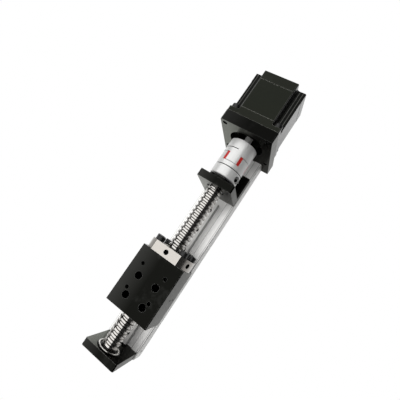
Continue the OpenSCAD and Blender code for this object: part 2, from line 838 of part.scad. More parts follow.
// Hub that clamps a shaft: jaws face +X. A saw cut runs across most of it and a
// slit frees its outer part, which one screw closes.
module clamp_hub(bore) {
    r = coupling_d / 2;
    tip = hub_l + spider_l - jaw_gap;
    apex = leg_w + 0.2;
    difference() {
        // Turned blank with a chamfered rim
        rotate([0, 90, 0]) rotate_extrude()
            polygon([[0, 0], [r - rim_c, 0], [r, rim_c], [r, tip], [0, tip]]);
        x_rod(-1, hub_l + spider_l, bore + 2 * seat_air, 0, 0);
        // Room for the spider: a round recess, and gaps between the jaws
        x_rod(hub_l - jaw_relief, spider_l, 2 * jaw_in_r, 0, 0);
        for (k = [0 : 2]) rotate([60 + k * 120, 0, 0]) x_bar(hub_l, spider_l) polygon([
            [0, -apex], [coupling_d * sin(30), coupling_d * cos(30) - apex],
            [-coupling_d * sin(30), coupling_d * cos(30) - apex]
        ]);
        // Cross cut, which leaves a web on the far side
        translate([cut_x, -coupling_d, -coupling_d / 4])
            cube([cut_w, 2 * coupling_d, coupling_d]);
        // Slit and clamp screw
        rotate([clamp_turn, 0, 0]) {
            translate([-1, -slit_w / 2, 0]) cube([cut_x + 1 + eps, slit_w, coupling_d]);
            translate([cut_x / 2, 0, clamp_r]) rotate([-90, 0, 0]) {
                cylinder(h = coupling_d, d = m_clamp + 2 * thread_air, center = true);
                translate([0, 0, clamp_head])
                    cylinder(h = coupling_d, d = head_d(m_clamp) + 2 * head_air);
            }
        }
    }
}

module clamp_screw() {
    rotate([clamp_turn, 0, 0]) translate([cut_x / 2, 0, clamp_r]) rotate([-90, 0, 0])
        translate([0, 0, clamp_head]) cap_screw(m_clamp, 2 * clamp_head + 2);
}

// The two hubs are the same piece, the second one turned end for end
module at_screw_hub() {
    translate([x_coupling, 0, axis_z]) rotate([coupling_turn + 60, 0, 0]) children();
}

module at_motor_hub() {
    translate([x_coupling + coupling_l, 0, axis_z]) rotate([coupling_turn - 120, 0, 0])
        rotate([0, 0, 180]) children();
}

module coupling_screw_hub() {
    color("gainsboro") at_screw_hub() clamp_hub(drive_d);
}

module coupling_motor_hub() {
    color("gainsboro") at_motor_hub() clamp_hub(shaft_d);
}

module coupling_spider() {
    x = x_coupling + hub_l + 0.1;
    color("#c8281e") translate([0, 0, axis_z]) x_bar(x, spider_l - 0.2) difference() {
        union() {
            circle(r = jaw_in_r - 0.15);
            for (k = [0 : 5]) rotate(coupling_turn + 30 + k * 60)
                translate([-leg_w / 2, 0]) square([leg_w, coupling_d / 2 - 0.2]);
        }
        circle(d = jaw_in_r * 1.1);
    }
}

module coupling_clamp_screws() {
    color("silver") {
        at_screw_hub() clamp_screw();
        at_motor_hub() clamp_screw();
    }
}

// ---- Motor bracket ----

// Places at the corners of the motor's screw square, looking along X
module at_motor_screws(x) {
    for (y = [-1, 1], z = [-1, 1])
        translate([x, y * motor_pitch / 2, axis_z + z * motor_pitch / 2])
            rotate([0, 90, 0]) children();
}

module motor_bracket() {
    color("#2b2b2d") difference() {
        x_bar(x_bracket, bracket_t) plate_outline(bracket_w, 0, z_bracket_top, plate_chamfer);
        x_rod(x_bracket - 1, bracket_t + 2, pilot_d + 2 * seat_air);
        at_motor_screws(x_bracket - 1) cylinder(h = bracket_t + 2, d = m_main + 2 * thread_air);
        for (y = [-under_y, under_y]) {
            x_rod(x_bracket - 1, bracket_t + 2, m_main + 2 * hole_air, y, bracket_screw_z);
            x_rod(x_motor - bracket_screw_depth, bracket_t, head_d(m_main) + 2 * head_air,
                y, bracket_screw_z);
        }
    }
}

module bracket_screws() {
    color("dimgray") for (y = [-under_y, under_y])
        translate([x_motor - bracket_screw_depth, y, bracket_screw_z]) rotate([0, 90, 0])
            cap_screw(m_main, bracket_screw_l);
}

// ---- Stepper motor ----

// Square with a filleted notch in each corner
module motor_outline(inset = 0) {
    w = motor_w - 2 * inset;
    n = notch;
    difference() {
        square(w, center = true);
        for (a = [0 : 90 : 270]) rotate(a) translate([w / 2, w / 2]) {
            translate([-n, -n + notch_r]) square([n + 1, n - notch_r + 1]);
            translate([-n + notch_r, -n]) square([n - notch_r + 1, n + 1]);
            translate([-n + notch_r, -n + notch_r]) circle(r = notch_r);
        }
    }
}

// Motor outline drawn out along X, centred on the motor's axis
module motor_bar(x, l, inset = 0) {
    translate([0, 0, axis_z]) x_bar(x, l) motor_outline(inset);
}

module at_through_screws(x) {
    for (y = [-1, 1], z = [-1, 1])
        translate([x, y * through_at, axis_z + z * through_at]) rotate([0, 90, 0]) children();
}

module motor_front_cap() {
    color("#262626") difference() {
        union() {
            translate([x_motor, -motor_w / 2, axis_z - motor_w / 2])
                cube([motor_flange_t, motor_w, motor_w]);
            motor_bar(x_motor, front_cap_l);
            x_rod(x_motor - pilot_h, pilot_h + 1, pilot_d);
        }
        at_motor_screws(x_motor - 1)
            cylinder(h = motor_flange_t + 2, d = m_main + 2 * hole_air);
        x_rod(x_front_bearing, front_cap_l, motor_bearing_d + 2 * seat_air);
        x_rod(x_motor - pilot_h - 1, front_cap_l, motor_bearing_d - 7);
        at_through_screws(x_motor + 2.5) cylinder(h = front_cap_l, d = 3 + 2 * thread_air);
    }
}

module slot_outline() {
    for (i = [0 : pole_count - 1]) rotate((i + 0.5) * 360 / pole_count) intersection() {
        difference() {
            circle(r = slot_out_r);
            circle(r = slot_in_r);
        }
        polygon([
            [0, pole_w * 1.3], [slot_out_r * sin(180 / pole_count), pole_w * 1.3 + slot_out_r],
            [-slot_out_r * sin(180 / pole_count), pole_w * 1.3 + slot_out_r]
        ]);
    }
}

module motor_stator() {
    color("#303030") difference() {
        motor_bar(x_stator, stator_l, 0.15);
        x_rod(x_stator - 1, stator_l + 2, stator_bore_d);
        translate([0, 0, axis_z]) x_bar(x_stator - 1, stator_l + 2) slot_outline();
        at_through_screws(x_stator - 1) cylinder(h = stator_l + 2, d = 3 + 2 * hole_air);
    }
}

// One coil beside each pole, filling the slots with a little air
module motor_windings() {
    color("peru") translate([0, 0, axis_z]) x_bar(x_stator + 0.5, stator_l - 1)
        intersection() {
            slot_outline();
            difference() {
                circle(r = slot_out_r - 0.3);
                circle(r = slot_in_r + 0.3);
            }
            for (i = [0 : pole_count - 1]) rotate((i + 0.5) * 360 / pole_count)
                for (side = [-1, 1]) rotate(side * 9) translate([-2.1, 0])
                    square([4.2, slot_out_r]);
        }
}

module motor_rear_cap() {
    color("#262626") difference() {
        motor_bar(x_rear_cap, rear_cap_l);
        x_rod(x_rear_bearing, motor_bearing_w, motor_bearing_d + 2 * seat_air);
        x_rod(x_rear_cap - 1, rear_cap_l - 2, motor_bearing_d - 5);
        at_through_screws(x_rear_cap - 1) cylinder(h = rear_cap_l + 2, d = 3 + 2 * hole_air);
        at_through_screws(x_motor_end - 3.4) cylinder(h = 4, d = head_d(3) + 2 * head_air);
        translate([x_rear_cap + 1.8, motor_w / 2 - socket_depth, axis_z - socket_w / 2])
            cube([socket_x + 0.4, socket_depth + 1, socket_w]);
    }
}

module motor_through_screws() {
    color("silver") at_through_screws(x_motor_end - 3.4)
        cap_screw(3, motor_l - 3.4 - 3.5);
}

module motor_mount_screws() {
    color("silver") at_motor_screws(x_motor + motor_flange_t)
        cap_screw(m_main, motor_flange_t + bracket_t - 1);
}

// Six way lead socket in the side of the rear cap, open towards +Y
module motor_socket() {
    z = axis_z - socket_w / 2 + 0.1;
    y = motor_w / 2 - socket_depth + 0.1;
    long = socket_depth + socket_out - 0.1;
    color("ivory") translate([x_rear_cap + 2, y, z]) {
        difference() {
            cube([socket_x, long, socket_w - 0.2]);
            translate([0.8, 1.5, 0.8]) cube([socket_x - 1.6, long, socket_w - 1.8]);
        }
        for (i = [0 : 5]) translate([socket_x / 2 - 0.3, 1, 1.8 + i * 2.2])
            cube([0.6, long - 2.5, 0.6]);
    }
}

module motor_shaft() {
    x = x_bracket + bracket_t - shaft_out;
    x_end = x_rear_bearing + motor_bearing_w - 0.5;
    color("gainsboro") {
        x_rod(x, x_end - x, shaft_d);
        x_rod(x_front_bearing + motor_bearing_w, x_rear_bearing - x_front_bearing
            - motor_bearing_w, shaft_d + 2);
    }
}

// Two toothed rotor stacks with a magnet disc between them
module motor_rotor() {
    color("slategray") difference() {
        union() {
            for (k = [0, 1]) x_rod(x_rotor + k * (rotor_l / 2 + 1), rotor_l / 2 - 1, rotor_d);
            x_rod(x_rotor, rotor_l, rotor_d - 4);
        }
        x_rod(x_rotor - 1, rotor_l + 2, shaft_d + 2 + 2 * seat_air);
    }
}

module motor_front_bearing_outer() {
    bearing_outer(x_front_bearing, motor_bearing_w, motor_bearing_d, shaft_d);
}
module motor_front_bearing_inner() {
    bearing_inner(x_front_bearing, motor_bearing_w, motor_bearing_d, shaft_d);
}
module motor_front_bearing_balls() {
    bearing_balls(x_front_bearing, motor_bearing_w, motor_bearing_d, shaft_d);
}
module motor_rear_bearing_outer() {
    bearing_outer(x_rear_bearing, motor_bearing_w, motor_bearing_d, shaft_d);
}
module motor_rear_bearing_inner() {
    bearing_inner(x_rear_bearing, motor_bearing_w, motor_bearing_d, shaft_d);
}
module motor_rear_bearing_balls() {
    bearing_balls(x_rear_bearing, motor_bearing_w, motor_bearing_d, shaft_d);
}

base_bar();
guide_rail();
rail_screws();
end_plate();
end_plate_screws();
bearing_support();
support_screws();
snap_ring();
far_bearing_outer();
far_bearing_inner();
far_bearing_balls();
near_bearing_outer();
near_bearing_inner();
near_bearing_balls();
carriage_block();
runner_body();
runner_end_caps();
runner_seals();
runner_screws();
ball_nut();
nut_wipers();
nut_screws();
ball_screw();
lock_nut();
coupling_screw_hub();
coupling_motor_hub();
coupling_spider();
coupling_clamp_screws();
motor_bracket();
bracket_screws();
motor_front_cap();
motor_stator();
motor_windings();
motor_rear_cap();
motor_through_screws();
motor_mount_screws();
motor_socket();
motor_shaft();
motor_rotor();
motor_front_bearing_outer();
motor_front_bearing_inner();
motor_front_bearing_balls();
motor_rear_bearing_outer();
motor_rear_bearing_inner();
motor_rear_bearing_balls();
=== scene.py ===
import math

import bmesh
import bpy
import numpy as np
from mathutils import Matrix, Vector


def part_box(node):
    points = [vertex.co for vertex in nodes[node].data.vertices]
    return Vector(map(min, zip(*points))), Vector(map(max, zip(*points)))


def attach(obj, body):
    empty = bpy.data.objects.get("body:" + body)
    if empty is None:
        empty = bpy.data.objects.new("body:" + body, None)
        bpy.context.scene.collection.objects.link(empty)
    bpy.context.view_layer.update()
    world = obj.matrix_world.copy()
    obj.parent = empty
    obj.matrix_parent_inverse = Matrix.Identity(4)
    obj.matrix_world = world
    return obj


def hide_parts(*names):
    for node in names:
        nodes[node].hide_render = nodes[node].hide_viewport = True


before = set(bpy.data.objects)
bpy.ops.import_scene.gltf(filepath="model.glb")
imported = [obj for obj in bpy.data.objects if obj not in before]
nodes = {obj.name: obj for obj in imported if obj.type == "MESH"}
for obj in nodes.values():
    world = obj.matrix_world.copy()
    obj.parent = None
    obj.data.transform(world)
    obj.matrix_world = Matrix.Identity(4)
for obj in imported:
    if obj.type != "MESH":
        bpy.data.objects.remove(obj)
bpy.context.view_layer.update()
mm = 0.001
axisHeight = 48.5  # of the screw's axis above the base's underside, in mm
print("frame loaded:", len(nodes), "solids")


# Camera, floor and light

camera = {
    "place": (5.88, -76.59, 316.70),  # in mm
    "forward": (0.14354, 0.29545, -0.94451),
    "up": (0.81814, 0.50156, 0.28123),
    "lens": 25.22,
}


def makeCamera(settings):
    data = bpy.data.cameras.new("studioCamera")
    data.sensor_width = 36.0
    data.lens = settings["lens"]
    data.clip_start = 0.01
    data.clip_end = 20.0
    back = -Vector(settings["forward"]).normalized()
    right = Vector(settings["up"]).cross(back).normalized()
    up = back.cross(right)
    turn = Matrix((right, up, back)).transposed().to_4x4()
    cam = bpy.data.objects.new("studioCamera", data)
    bpy.context.scene.collection.objects.link(cam)
    cam.matrix_world = Matrix.Translation(Vector(settings["place"]) * mm) @ turn
    bpy.context.scene.camera = cam


makeCamera(camera)

studio = {
    "floorSize": 3.0,  # in metres, as where the glow begins to fade and ends
    "floorDrop": 0.05,  # how far the floor lies under the base, in mm
    "floorTone": (0.6, 0.6, 0.6, 1.0),
    "floorRough": 0.9,
    "floorSeen": 1.0,  # how bright the floor looks by itself
    "glowFull": 0.66,  # how brightly it lights the piece from below
    "glowNear": 0.03,  # the glow is full up to here
    "glowFar": 0.145,  # and has faded to the rest by here
    "glowRest": 0.08,
    "glowStretch": (0.18, 1.0, 1.0),  # the glow fades slowly along the module
    "skyTone": (1.0, 1.0, 1.0, 1.0),
    "skyLight": 0.05,
    "skySeen": 1.0,
}


# The glow is full near the module and fades smoothly with the distance from the
# origin, stretched along X. What the camera sees of the floor is an even white.
def makeFloorPaper(settings):
    mat = bpy.data.materials.new("paperFloor")
    mat.use_nodes = True
    tree = mat.node_tree
    shader = tree.nodes["Principled BSDF"]
    shader.inputs["Base Color"].default_value = settings["floorTone"]
    shader.inputs["Roughness"].default_value = settings["floorRough"]
    shader.inputs["Emission Color"].default_value = (1.0, 1.0, 1.0, 1.0)
    place = tree.nodes.new("ShaderNodeTexCoord")
    reach = tree.nodes.new("ShaderNodeVectorMath")
    reach.operation = "MULTIPLY"
    reach.inputs[1].default_value = settings["glowStretch"]
    away = tree.nodes.new("ShaderNodeVectorMath")
    away.operation = "LENGTH"
    fade = tree.nodes.new("ShaderNodeMapRange")
    fade.interpolation_type = "SMOOTHSTEP"
    fade.inputs["From Min"].default_value = settings["glowNear"]
    fade.inputs["From Max"].default_value = settings["glowFar"]
    fade.inputs["To Min"].default_value = settings["glowFull"]
    fade.inputs["To Max"].default_value = settings["glowRest"]
    tree.links.new(place.outputs["Object"], reach.inputs[0])
    tree.links.new(reach.outputs[0], away.inputs[0])
    tree.links.new(away.outputs["Value"], fade.inputs["Value"])
    tree.links.new(fade.outputs["Result"], shader.inputs["Emission Strength"])
    glow = tree.nodes.new("ShaderNodeEmission")
    glow.inputs["Strength"].default_value = settings["floorSeen"]
    path = tree.nodes.new("ShaderNodeLightPath")
    choose = tree.nodes.new("ShaderNodeMixShader")
    tree.links.new(path.outputs["Is Camera Ray"], choose.inputs["Fac"])
    tree.links.new(shader.outputs["BSDF"], choose.inputs[1])
    tree.links.new(glow.outputs["Emission"], choose.inputs[2])
    tree.links.new(choose.outputs["Shader"], tree.nodes["Material Output"].inputs["Surface"])
    return mat


def makeFloor(settings):
    half = settings["floorSize"] / 2
    z = -settings["floorDrop"] * mm
    corners = [(-half, -half, z), (half, -half, z), (half, half, z), (-half, half, z)]
    mesh = bpy.data.meshes.new("studioFloor")
    mesh.from_pydata(corners, [], [(0, 1, 2, 3)])
    floor = bpy.data.objects.new("studioFloor", mesh)
    bpy.context.scene.collection.objects.link(floor)
    mesh.materials.append(makeFloorPaper(settings))


# White to the camera, and a faint light to everything else
def makeAir(settings):
    world = bpy.data.worlds.new("studioAir")
    bpy.context.scene.world = world
    world.use_nodes = True
    tree = world.node_tree
    tree.nodes.clear()
    out = tree.nodes.new("ShaderNodeOutputWorld")
    mix = tree.nodes.new("ShaderNodeMixShader")
    seen = tree.nodes.new("ShaderNodeBackground")
    lit = tree.nodes.new("ShaderNodeBackground")
    path = tree.nodes.new("ShaderNodeLightPath")
    seen.inputs["Color"].default_value = settings["skyTone"]
    seen.inputs["Strength"].default_value = settings["skySeen"]
    lit.inputs["Color"].default_value = settings["skyTone"]
    lit.inputs["Strength"].default_value = settings["skyLight"]
    tree.links.new(path.outputs["Is Camera Ray"], mix.inputs["Fac"])
    tree.links.new(lit.outputs["Background"], mix.inputs[1])
    tree.links.new(seen.outputs["Background"], mix.inputs[2])
    tree.links.new(mix.outputs["Shader"], out.inputs["Surface"])
    view = bpy.context.scene.view_settings
    view.view_transform = "Standard"
    view.look = "None"
    view.exposure = 0.0
    view.gamma = 1.0


makeFloor(studio)
makeAir(studio)

mainBox = {
    "place": (0.08, 0.44, 1.12),  # in metres, as its aim and size are
    "aim": (0.02, 0.0, 0.03),
    "size": (2.6, 2.16),
    "power": 39.5,
}


def makeSoftBox(name, settings):
    data = bpy.data.lights.new(name, "AREA")
    data.shape = "RECTANGLE"
    data.size, data.size_y = settings["size"]
    data.energy = settings["power"]
    lamp = bpy.data.objects.new(name, data)
    bpy.context.scene.collection.objects.link(lamp)
    place = Vector(settings["place"])
    turn = (Vector(settings["aim"]) - place).to_track_quat("-Z", "Y").to_matrix().to_4x4()
    lamp.matrix_world = Matrix.Translation(place) @ turn


makeSoftBox("mainBox", mainBox)
print("studio ready")


# Shared effects, each a node group that puts out one mask or value

def newGroup(name, inputs, outputs):
    tree = bpy.data.node_groups.new(name, "ShaderNodeTree")
    for label, kind, value in inputs:
        socket = tree.interface.new_socket(name=label, in_out="INPUT", socket_type=kind)
        socket.default_value = value
    for label in outputs:
        tree.interface.new_socket(name=label, in_out="OUTPUT", socket_type="NodeSocketFloat")
    return tree, tree.nodes.new("NodeGroupInput"), tree.nodes.new("NodeGroupOutput")


def setOrLink(tree, value, socket):
    if isinstance(value, (int, float, tuple)):
        socket.default_value = value
    else:
        tree.links.new(value, socket)


def mathNode(tree, operation, first, second=None, clamp=False):
    node = tree.nodes.new("ShaderNodeMath")
    node.operation = operation
    node.use_clamp = clamp
    setOrLink(tree, first, node.inputs[0])
    if second is not None:
        setOrLink(tree, second, node.inputs[1])
    return node.outputs[0]


def vectorNode(tree, operation, first, second=None):
    node = tree.nodes.new("ShaderNodeVectorMath")
    node.operation = operation
    setOrLink(tree, first, node.inputs[0])
    if second is not None:
        setOrLink(tree, second, node.inputs[1])
    return node.outputs["Value"] if operation in ("DOT_PRODUCT", "LENGTH") else node.outputs[0]


def objectPlace(tree):
    return tree.nodes.new("ShaderNodeTexCoord").outputs["Object"]


def noiseNode(tree, vector, scale, detail, rough):
    node = tree.nodes.new("ShaderNodeTexNoise")
    node.inputs["Detail"].default_value = detail
    node.inputs["Roughness"].default_value = rough
    tree.links.new(vector, node.inputs["Vector"])
    setOrLink(tree, scale, node.inputs["Scale"])
    return node.outputs[0]


# Grain: fine noise on stretched Object coordinates. Stretch is how many waves
# each metre has along X, Y and Z, so a small X value draws lines along X.
def makeGrainGroup():
    tree, given, out = newGroup(
        "surfaceGrain", [("Stretch", "NodeSocketVector", (2000.0, 2000.0, 2000.0))], ["Grain"],
    )
    scaled = vectorNode(tree, "MULTIPLY", objectPlace(tree), given.outputs["Stretch"])
    tree.links.new(noiseNode(tree, scaled, 1.0, 4.0, 0.6), out.inputs["Grain"])
    return tree


# Edge wear and painted highlight: the rounded normal differs from the surface's own only near an edge,
# so one minus their dot product marks edges, which the finishes paint lighter, partly as wear and
# partly as a painted highlight. Noise breaks the line up.
def makeEdgeGroup():
    tree, given, out = newGroup(
        "edgeWearAndHighlight",
        [
            ("Radius", "NodeSocketFloat", 0.0005),
            ("Amount", "NodeSocketFloat", 1.0),
            ("Breakup", "NodeSocketFloat", 300.0),
        ],
        ["Mask"],
    )
    soft = tree.nodes.new("ShaderNodeBevel")
    soft.samples = 4
    tree.links.new(given.outputs["Radius"], soft.inputs["Radius"])
    surface = tree.nodes.new("ShaderNodeNewGeometry")
    alike = vectorNode(tree, "DOT_PRODUCT", soft.outputs["Normal"], surface.outputs["Normal"])
    edge = mathNode(tree, "SUBTRACT", 1.0, alike, True)
    edge = mathNode(tree, "MULTIPLY", edge, 6.0, True)
    noise = noiseNode(tree, objectPlace(tree), given.outputs["Breakup"], 2.0, 0.55)
    wearOrHighlight = mathNode(tree, "MULTIPLY", edge, mathNode(tree, "MULTIPLY", noise, 1.8), True)
    tree.links.new(mathNode(tree, "MULTIPLY", wearOrHighlight, given.outputs["Amount"], True), out.inputs["Mask"])
    return tree


# Smears: large soft patches, as handling leaves on a matt black face. They lie
# where three parts of a large noise and one of a finer one pass the cover.
def makeSmearGroup():
    tree, given, out = newGroup(
        "handlingSmears",
        [
            ("Size", "NodeSocketFloat", 40.0),
            ("Cover", "NodeSocketFloat", 0.5),
            ("Amount", "NodeSocketFloat", 1.0),
        ],
        ["Mask"],
    )
    place = objectPlace(tree)
    large = noiseNode(tree, place, given.outputs["Size"], 4.0, 0.65)
    small = noiseNode(tree, place, mathNode(tree, "MULTIPLY", given.outputs["Size"], 6.0), 3.0, 0.6)
    largePart = mathNode(tree, "MULTIPLY", large, 0.75)
    mixed = mathNode(tree, "ADD", largePart, mathNode(tree, "MULTIPLY", small, 0.25))
    over = mathNode(tree, "SUBTRACT", mixed, given.outputs["Cover"])
    over = mathNode(tree, "MULTIPLY", over, 5.0, True)
    tree.links.new(mathNode(tree, "MULTIPLY", over, given.outputs["Amount"], True), out.inputs["Mask"])
    return tree


# Deep holes: measured across the hole's axis, a spot lies in a hole when its
# distance from the nearest of the hole centres, which sit plus or minus a half
# pitch from the middle both ways, is under the radius. Across and Along are the
# two directions square to the hole's axis.
# The mask is used to paint shade into holes.
def makeHoleGroup():
    tree, given, out = newGroup(
        "deepHoles",
        [
            ("Middle", "NodeSocketVector", (0.0, 0.0, 0.0)),
            ("Across", "NodeSocketVector", (1.0, 0.0, 0.0)),
            ("Along", "NodeSocketVector", (0.0, 1.0, 0.0)),
            ("Half Pitch", "NodeSocketFloat", 0.0),
            ("Radius", "NodeSocketFloat", 0.003),
        ],
        ["Mask"],
    )
    offset = vectorNode(tree, "SUBTRACT", objectPlace(tree), given.outputs["Middle"])
    squares = []
    for way in ("Across", "Along"):
        reach = mathNode(tree, "ABSOLUTE", vectorNode(tree, "DOT_PRODUCT", offset, given.outputs[way]))
        gap = mathNode(tree, "SUBTRACT", reach, given.outputs["Half Pitch"])
        squares.append(mathNode(tree, "MULTIPLY", gap, gap))
    distance = mathNode(tree, "SQRT", mathNode(tree, "ADD", *squares))
    tree.links.new(mathNode(tree, "LESS_THAN", distance, given.outputs["Radius"]), out.inputs["Mask"])
    return tree


# Band: one between Low and High of a distance, with soft ends. The distance is
# the length of the position from Middle after it is scaled by Scale, so (0,1,0)
# measures sideways and (0,1,1) measures out from the screw's axis.
def makeBandGroup():
    tree, given, out = newGroup(
        "distanceBand",
        [
            ("Middle", "NodeSocketVector", (0.0, 0.0, 0.0)),
            ("Scale", "NodeSocketVector", (0.0, 1.0, 0.0)),
            ("Low", "NodeSocketFloat", 0.0),
            ("High", "NodeSocketFloat", 0.001),
            ("Softness", "NodeSocketFloat", 0.0002),
        ],
        ["Mask"],
    )
    offset = vectorNode(tree, "SUBTRACT", objectPlace(tree), given.outputs["Middle"])
    scaled = vectorNode(tree, "MULTIPLY", offset, given.outputs["Scale"])
    length = vectorNode(tree, "LENGTH", scaled)
    pastLow = mathNode(tree, "SUBTRACT", length, given.outputs["Low"])
    beforeHigh = mathNode(tree, "SUBTRACT", given.outputs["High"], length)
    rise = mathNode(tree, "DIVIDE", pastLow, given.outputs["Softness"], True)
    fall = mathNode(tree, "DIVIDE", beforeHigh, given.outputs["Softness"], True)
    tree.links.new(mathNode(tree, "MULTIPLY", rise, fall, True), out.inputs["Mask"])
    return tree


grainGroup = makeGrainGroup()
markGroups = {"hole": makeHoleGroup(), "band": makeBandGroup()}
edgeGroup = makeEdgeGroup()
smearGroup = makeSmearGroup()


def placeGroup(tree, group, values):
    node = tree.nodes.new("ShaderNodeGroup")
    node.node_tree = group
    for label, value in values.items():
        node.inputs[label].default_value = value
    return node


def mixColour(tree, factor, first, second):
    node = tree.nodes.new("ShaderNodeMix")
    node.data_type = "RGBA"
    tree.links.new(factor, node.inputs["Factor"])
    setOrLink(tree, first, node.inputs[6])
    setOrLink(tree, second, node.inputs[7])
    return node.outputs[2]


# How strongly a mark shows: its own mask times its amount, less on faces that
# turn away from the way it faces, and none outside the band that limits it.
def markLevel(tree, mark):
    spot = placeGroup(tree, markGroups[mark["kind"]], mark["shape"])
    level = mathNode(tree, "MULTIPLY", spot.outputs["Mask"], mark.get("amount", 1.0))
    if "facing" in mark:
        surface = tree.nodes.new("ShaderNodeNewGeometry")
        side = vectorNode(tree, "DOT_PRODUCT", surface.outputs["True Normal"], mark["facing"])
        level = mathNode(tree, "MULTIPLY", level, mathNode(tree, "ABSOLUTE", side, clamp=True))
    if "within" in mark:
        limit = placeGroup(tree, markGroups["band"], mark["within"])
        level = mathNode(tree, "MULTIPLY", level, limit.outputs["Mask"])
    return level


grainDepth = 0.05 * mm  # how deep the grain's bump is


# One finish: two tones mixed by the grain, then smears, edges lightened as wear and as painted
# highlight, and marks, most of which are painted light and shade, with roughness and bump from
# the same grain. Smears are rougher as well.
def makeFinish(name, settings):
    mat = bpy.data.materials.new(name)
    mat.use_nodes = True
    tree = mat.node_tree
    shader = tree.nodes["Principled BSDF"]
    shader.inputs["Metallic"].default_value = settings.get("metallic", 0.0)
    shader.inputs["Specular Tint"].default_value = settings.get("glancing", (1.0, 1.0, 1.0)) + (1.0,)
    grain = placeGroup(tree, grainGroup, {"Stretch": settings["stretch"]}).outputs["Grain"]
    colour = mixColour(tree, grain, settings["dark"] + (1.0,), settings["light"] + (1.0,))
    span = tree.nodes.new("ShaderNodeMapRange")
    span.inputs["To Min"].default_value, span.inputs["To Max"].default_value = settings["roughness"]
    tree.links.new(grain, span.inputs["Value"])
    rough = span.outputs["Result"]
    if "smear" in settings:
        smear = settings["smear"]
        patches = placeGroup(tree, smearGroup, {
            "Size": smear["size"], "Cover": smear["cover"], "Amount": smear["amount"],
        }).outputs["Mask"]
        colour = mixColour(tree, patches, colour, smear["tone"] + (1.0,))
        rougher = mathNode(tree, "MULTIPLY", patches, smear.get("rough", 0.15))
        rough = mathNode(tree, "ADD", rough, rougher, True)
    if "edge" in settings:
        edge = settings["edge"]
        edgeWearOrHighlight = placeGroup(tree, edgeGroup, {
            "Radius": edge.get("radius", 0.0004), "Amount": edge["amount"],
        }).outputs["Mask"]
        colour = mixColour(tree, edgeWearOrHighlight, colour, edge["tone"] + (1.0,))
    for mark in settings.get("marks", []):
        colour = mixColour(tree, markLevel(tree, mark), colour, mark["tone"] + (1.0,))
    tree.links.new(colour, shader.inputs["Base Color"])
    tree.links.new(rough, shader.inputs["Roughness"])
    bump = tree.nodes.new("ShaderNodeBump")
    bump.inputs["Strength"].default_value = settings["bump"]
    bump.inputs["Distance"].default_value = grainDepth
    tree.links.new(grain, bump.inputs["Height"])
    tree.links.new(bump.outputs["Normal"], shader.inputs["Normal"])
    return mat


# Places where a finish changes, in mm

def middleX(first, last):
    return (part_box(first)[0].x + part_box(last)[1].x) / 2 / mm


lengthways = (1.0, 0.0, 0.0)
sideways = (0.0, 1.0, 0.0)
upwards = (0.0, 0.0, 1.0)
outwards = (0.0, 1.0, 1.0)
runnerX = middleX("runner_seals", "runner_seals")
couplingX = middleX("coupling_screw_hub", "coupling_motor_hub")
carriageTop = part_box("carriage_block")[1].z / mm
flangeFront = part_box("ball_nut")[1].x / mm
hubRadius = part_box("coupling_screw_hub")[1].y / mm
statorStart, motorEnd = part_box("motor_stator")[0].x / mm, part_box("motor_rear_cap")[1].x / mm


def bandShape(low, high, softness, middle=(0.0, 0.0, 0.0), scale=sideways):
    return {
        "Middle": tuple(v * mm for v in middle), "Scale": scale,
        "Low": low * mm, "High": high * mm, "Softness": softness * mm,
    }


def radialBand(low, high, softness):
    return bandShape(low, high, softness, (0.0, 0.0, axisHeight), outwards)


def lengthBand(x, half, softness):
    return bandShape(-1.0, half, softness, (x, 0.0, 0.0), lengthways)


def bandMark(tone, shape, **more):
    return {"kind": "band", "tone": tone, "shape": shape, **more}


def holeShadeMark(tone, middle, radius, along=sideways, halfPitch=0.0, **more):
    shape = {
        "Middle": tuple(v * mm for v in middle), "Along": along,
        "Half Pitch": halfPitch * mm, "Radius": radius * mm,
    }
    return {"kind": "hole", "tone": tone, "shape": shape, **more}


# The four access holes over the runner's screws, painted dark inside as painted shade,
# also on the nut that shows through them
runnerHalf = 10.0  # half the pitch of those screws, both ways
carriageHoleShade = [
    holeShadeMark((0.002, 0.002, 0.002), (runnerX, 0.0, carriageTop), 3.64, halfPitch=runnerHalf),
]

nutOil = {
    "x": flangeFront - 5.0,  # half the flange's thickness behind its face
    "radius": 2.52,
    "tilts": (0.0, math.radians(66.0)),  # of the holes, from straight up towards -Y
    "mouth": 22.0,  # how far its mouth is from the screw's axis
    "around": 12.0,  # it shows this near its mouth, and not on the flange's far side
}
# The nut's oil holes are painted dark inside, as painted shade, only near their mouths.
nutHoleShade = [
    holeShadeMark(
        (0.004, 0.004, 0.004), (nutOil["x"], 0.0, axisHeight), nutOil["radius"],
        along=(0.0, math.cos(tilt), math.sin(tilt)),
        within=bandShape(-1.0, nutOil["around"], 0.2, (
            nutOil["x"], -nutOil["mouth"] * math.sin(tilt), axisHeight + nutOil["mouth"] * math.cos(tilt),
        ), outwards),
    )
    for tilt in nutOil["tilts"]
]

clamp = {
    "arm": 10.2,  # from the screw's axis to a clamp screw's axis
    "inset": 5.2,  # from the hub's outer end
    "seat": 4.2,  # from the slit's middle to the head
    "socket": 1.8,  # radius of the dark in a head's socket
    "turns": (math.radians(120.0), math.radians(186.0)),  # of the arms, from straight up towards -Y
    "ways": (1, -1),  # the second hub is turned end for end
}
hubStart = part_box("coupling_screw_hub")[0].x / mm
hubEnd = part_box("coupling_motor_hub")[1].x / mm
clampSpots = [
    (x, -clamp["arm"] * math.sin(turn), axisHeight + clamp["arm"] * math.cos(turn))
    for x, turn in zip((hubStart + clamp["inset"], hubEnd - clamp["inset"]), clamp["turns"])
]
clampOuts = [
    (0.0, way * math.cos(turn), way * math.sin(turn)) for way, turn in zip(clamp["ways"], clamp["turns"])
]
# The clamp screws' sockets are painted dark, as painted shade.
clampSocketShade = [
    holeShadeMark((0.003, 0.003, 0.003), spot, clamp["socket"], along=(0.0, -out[2], out[1]))
    for spot, out in zip(clampSpots, clampOuts)
]
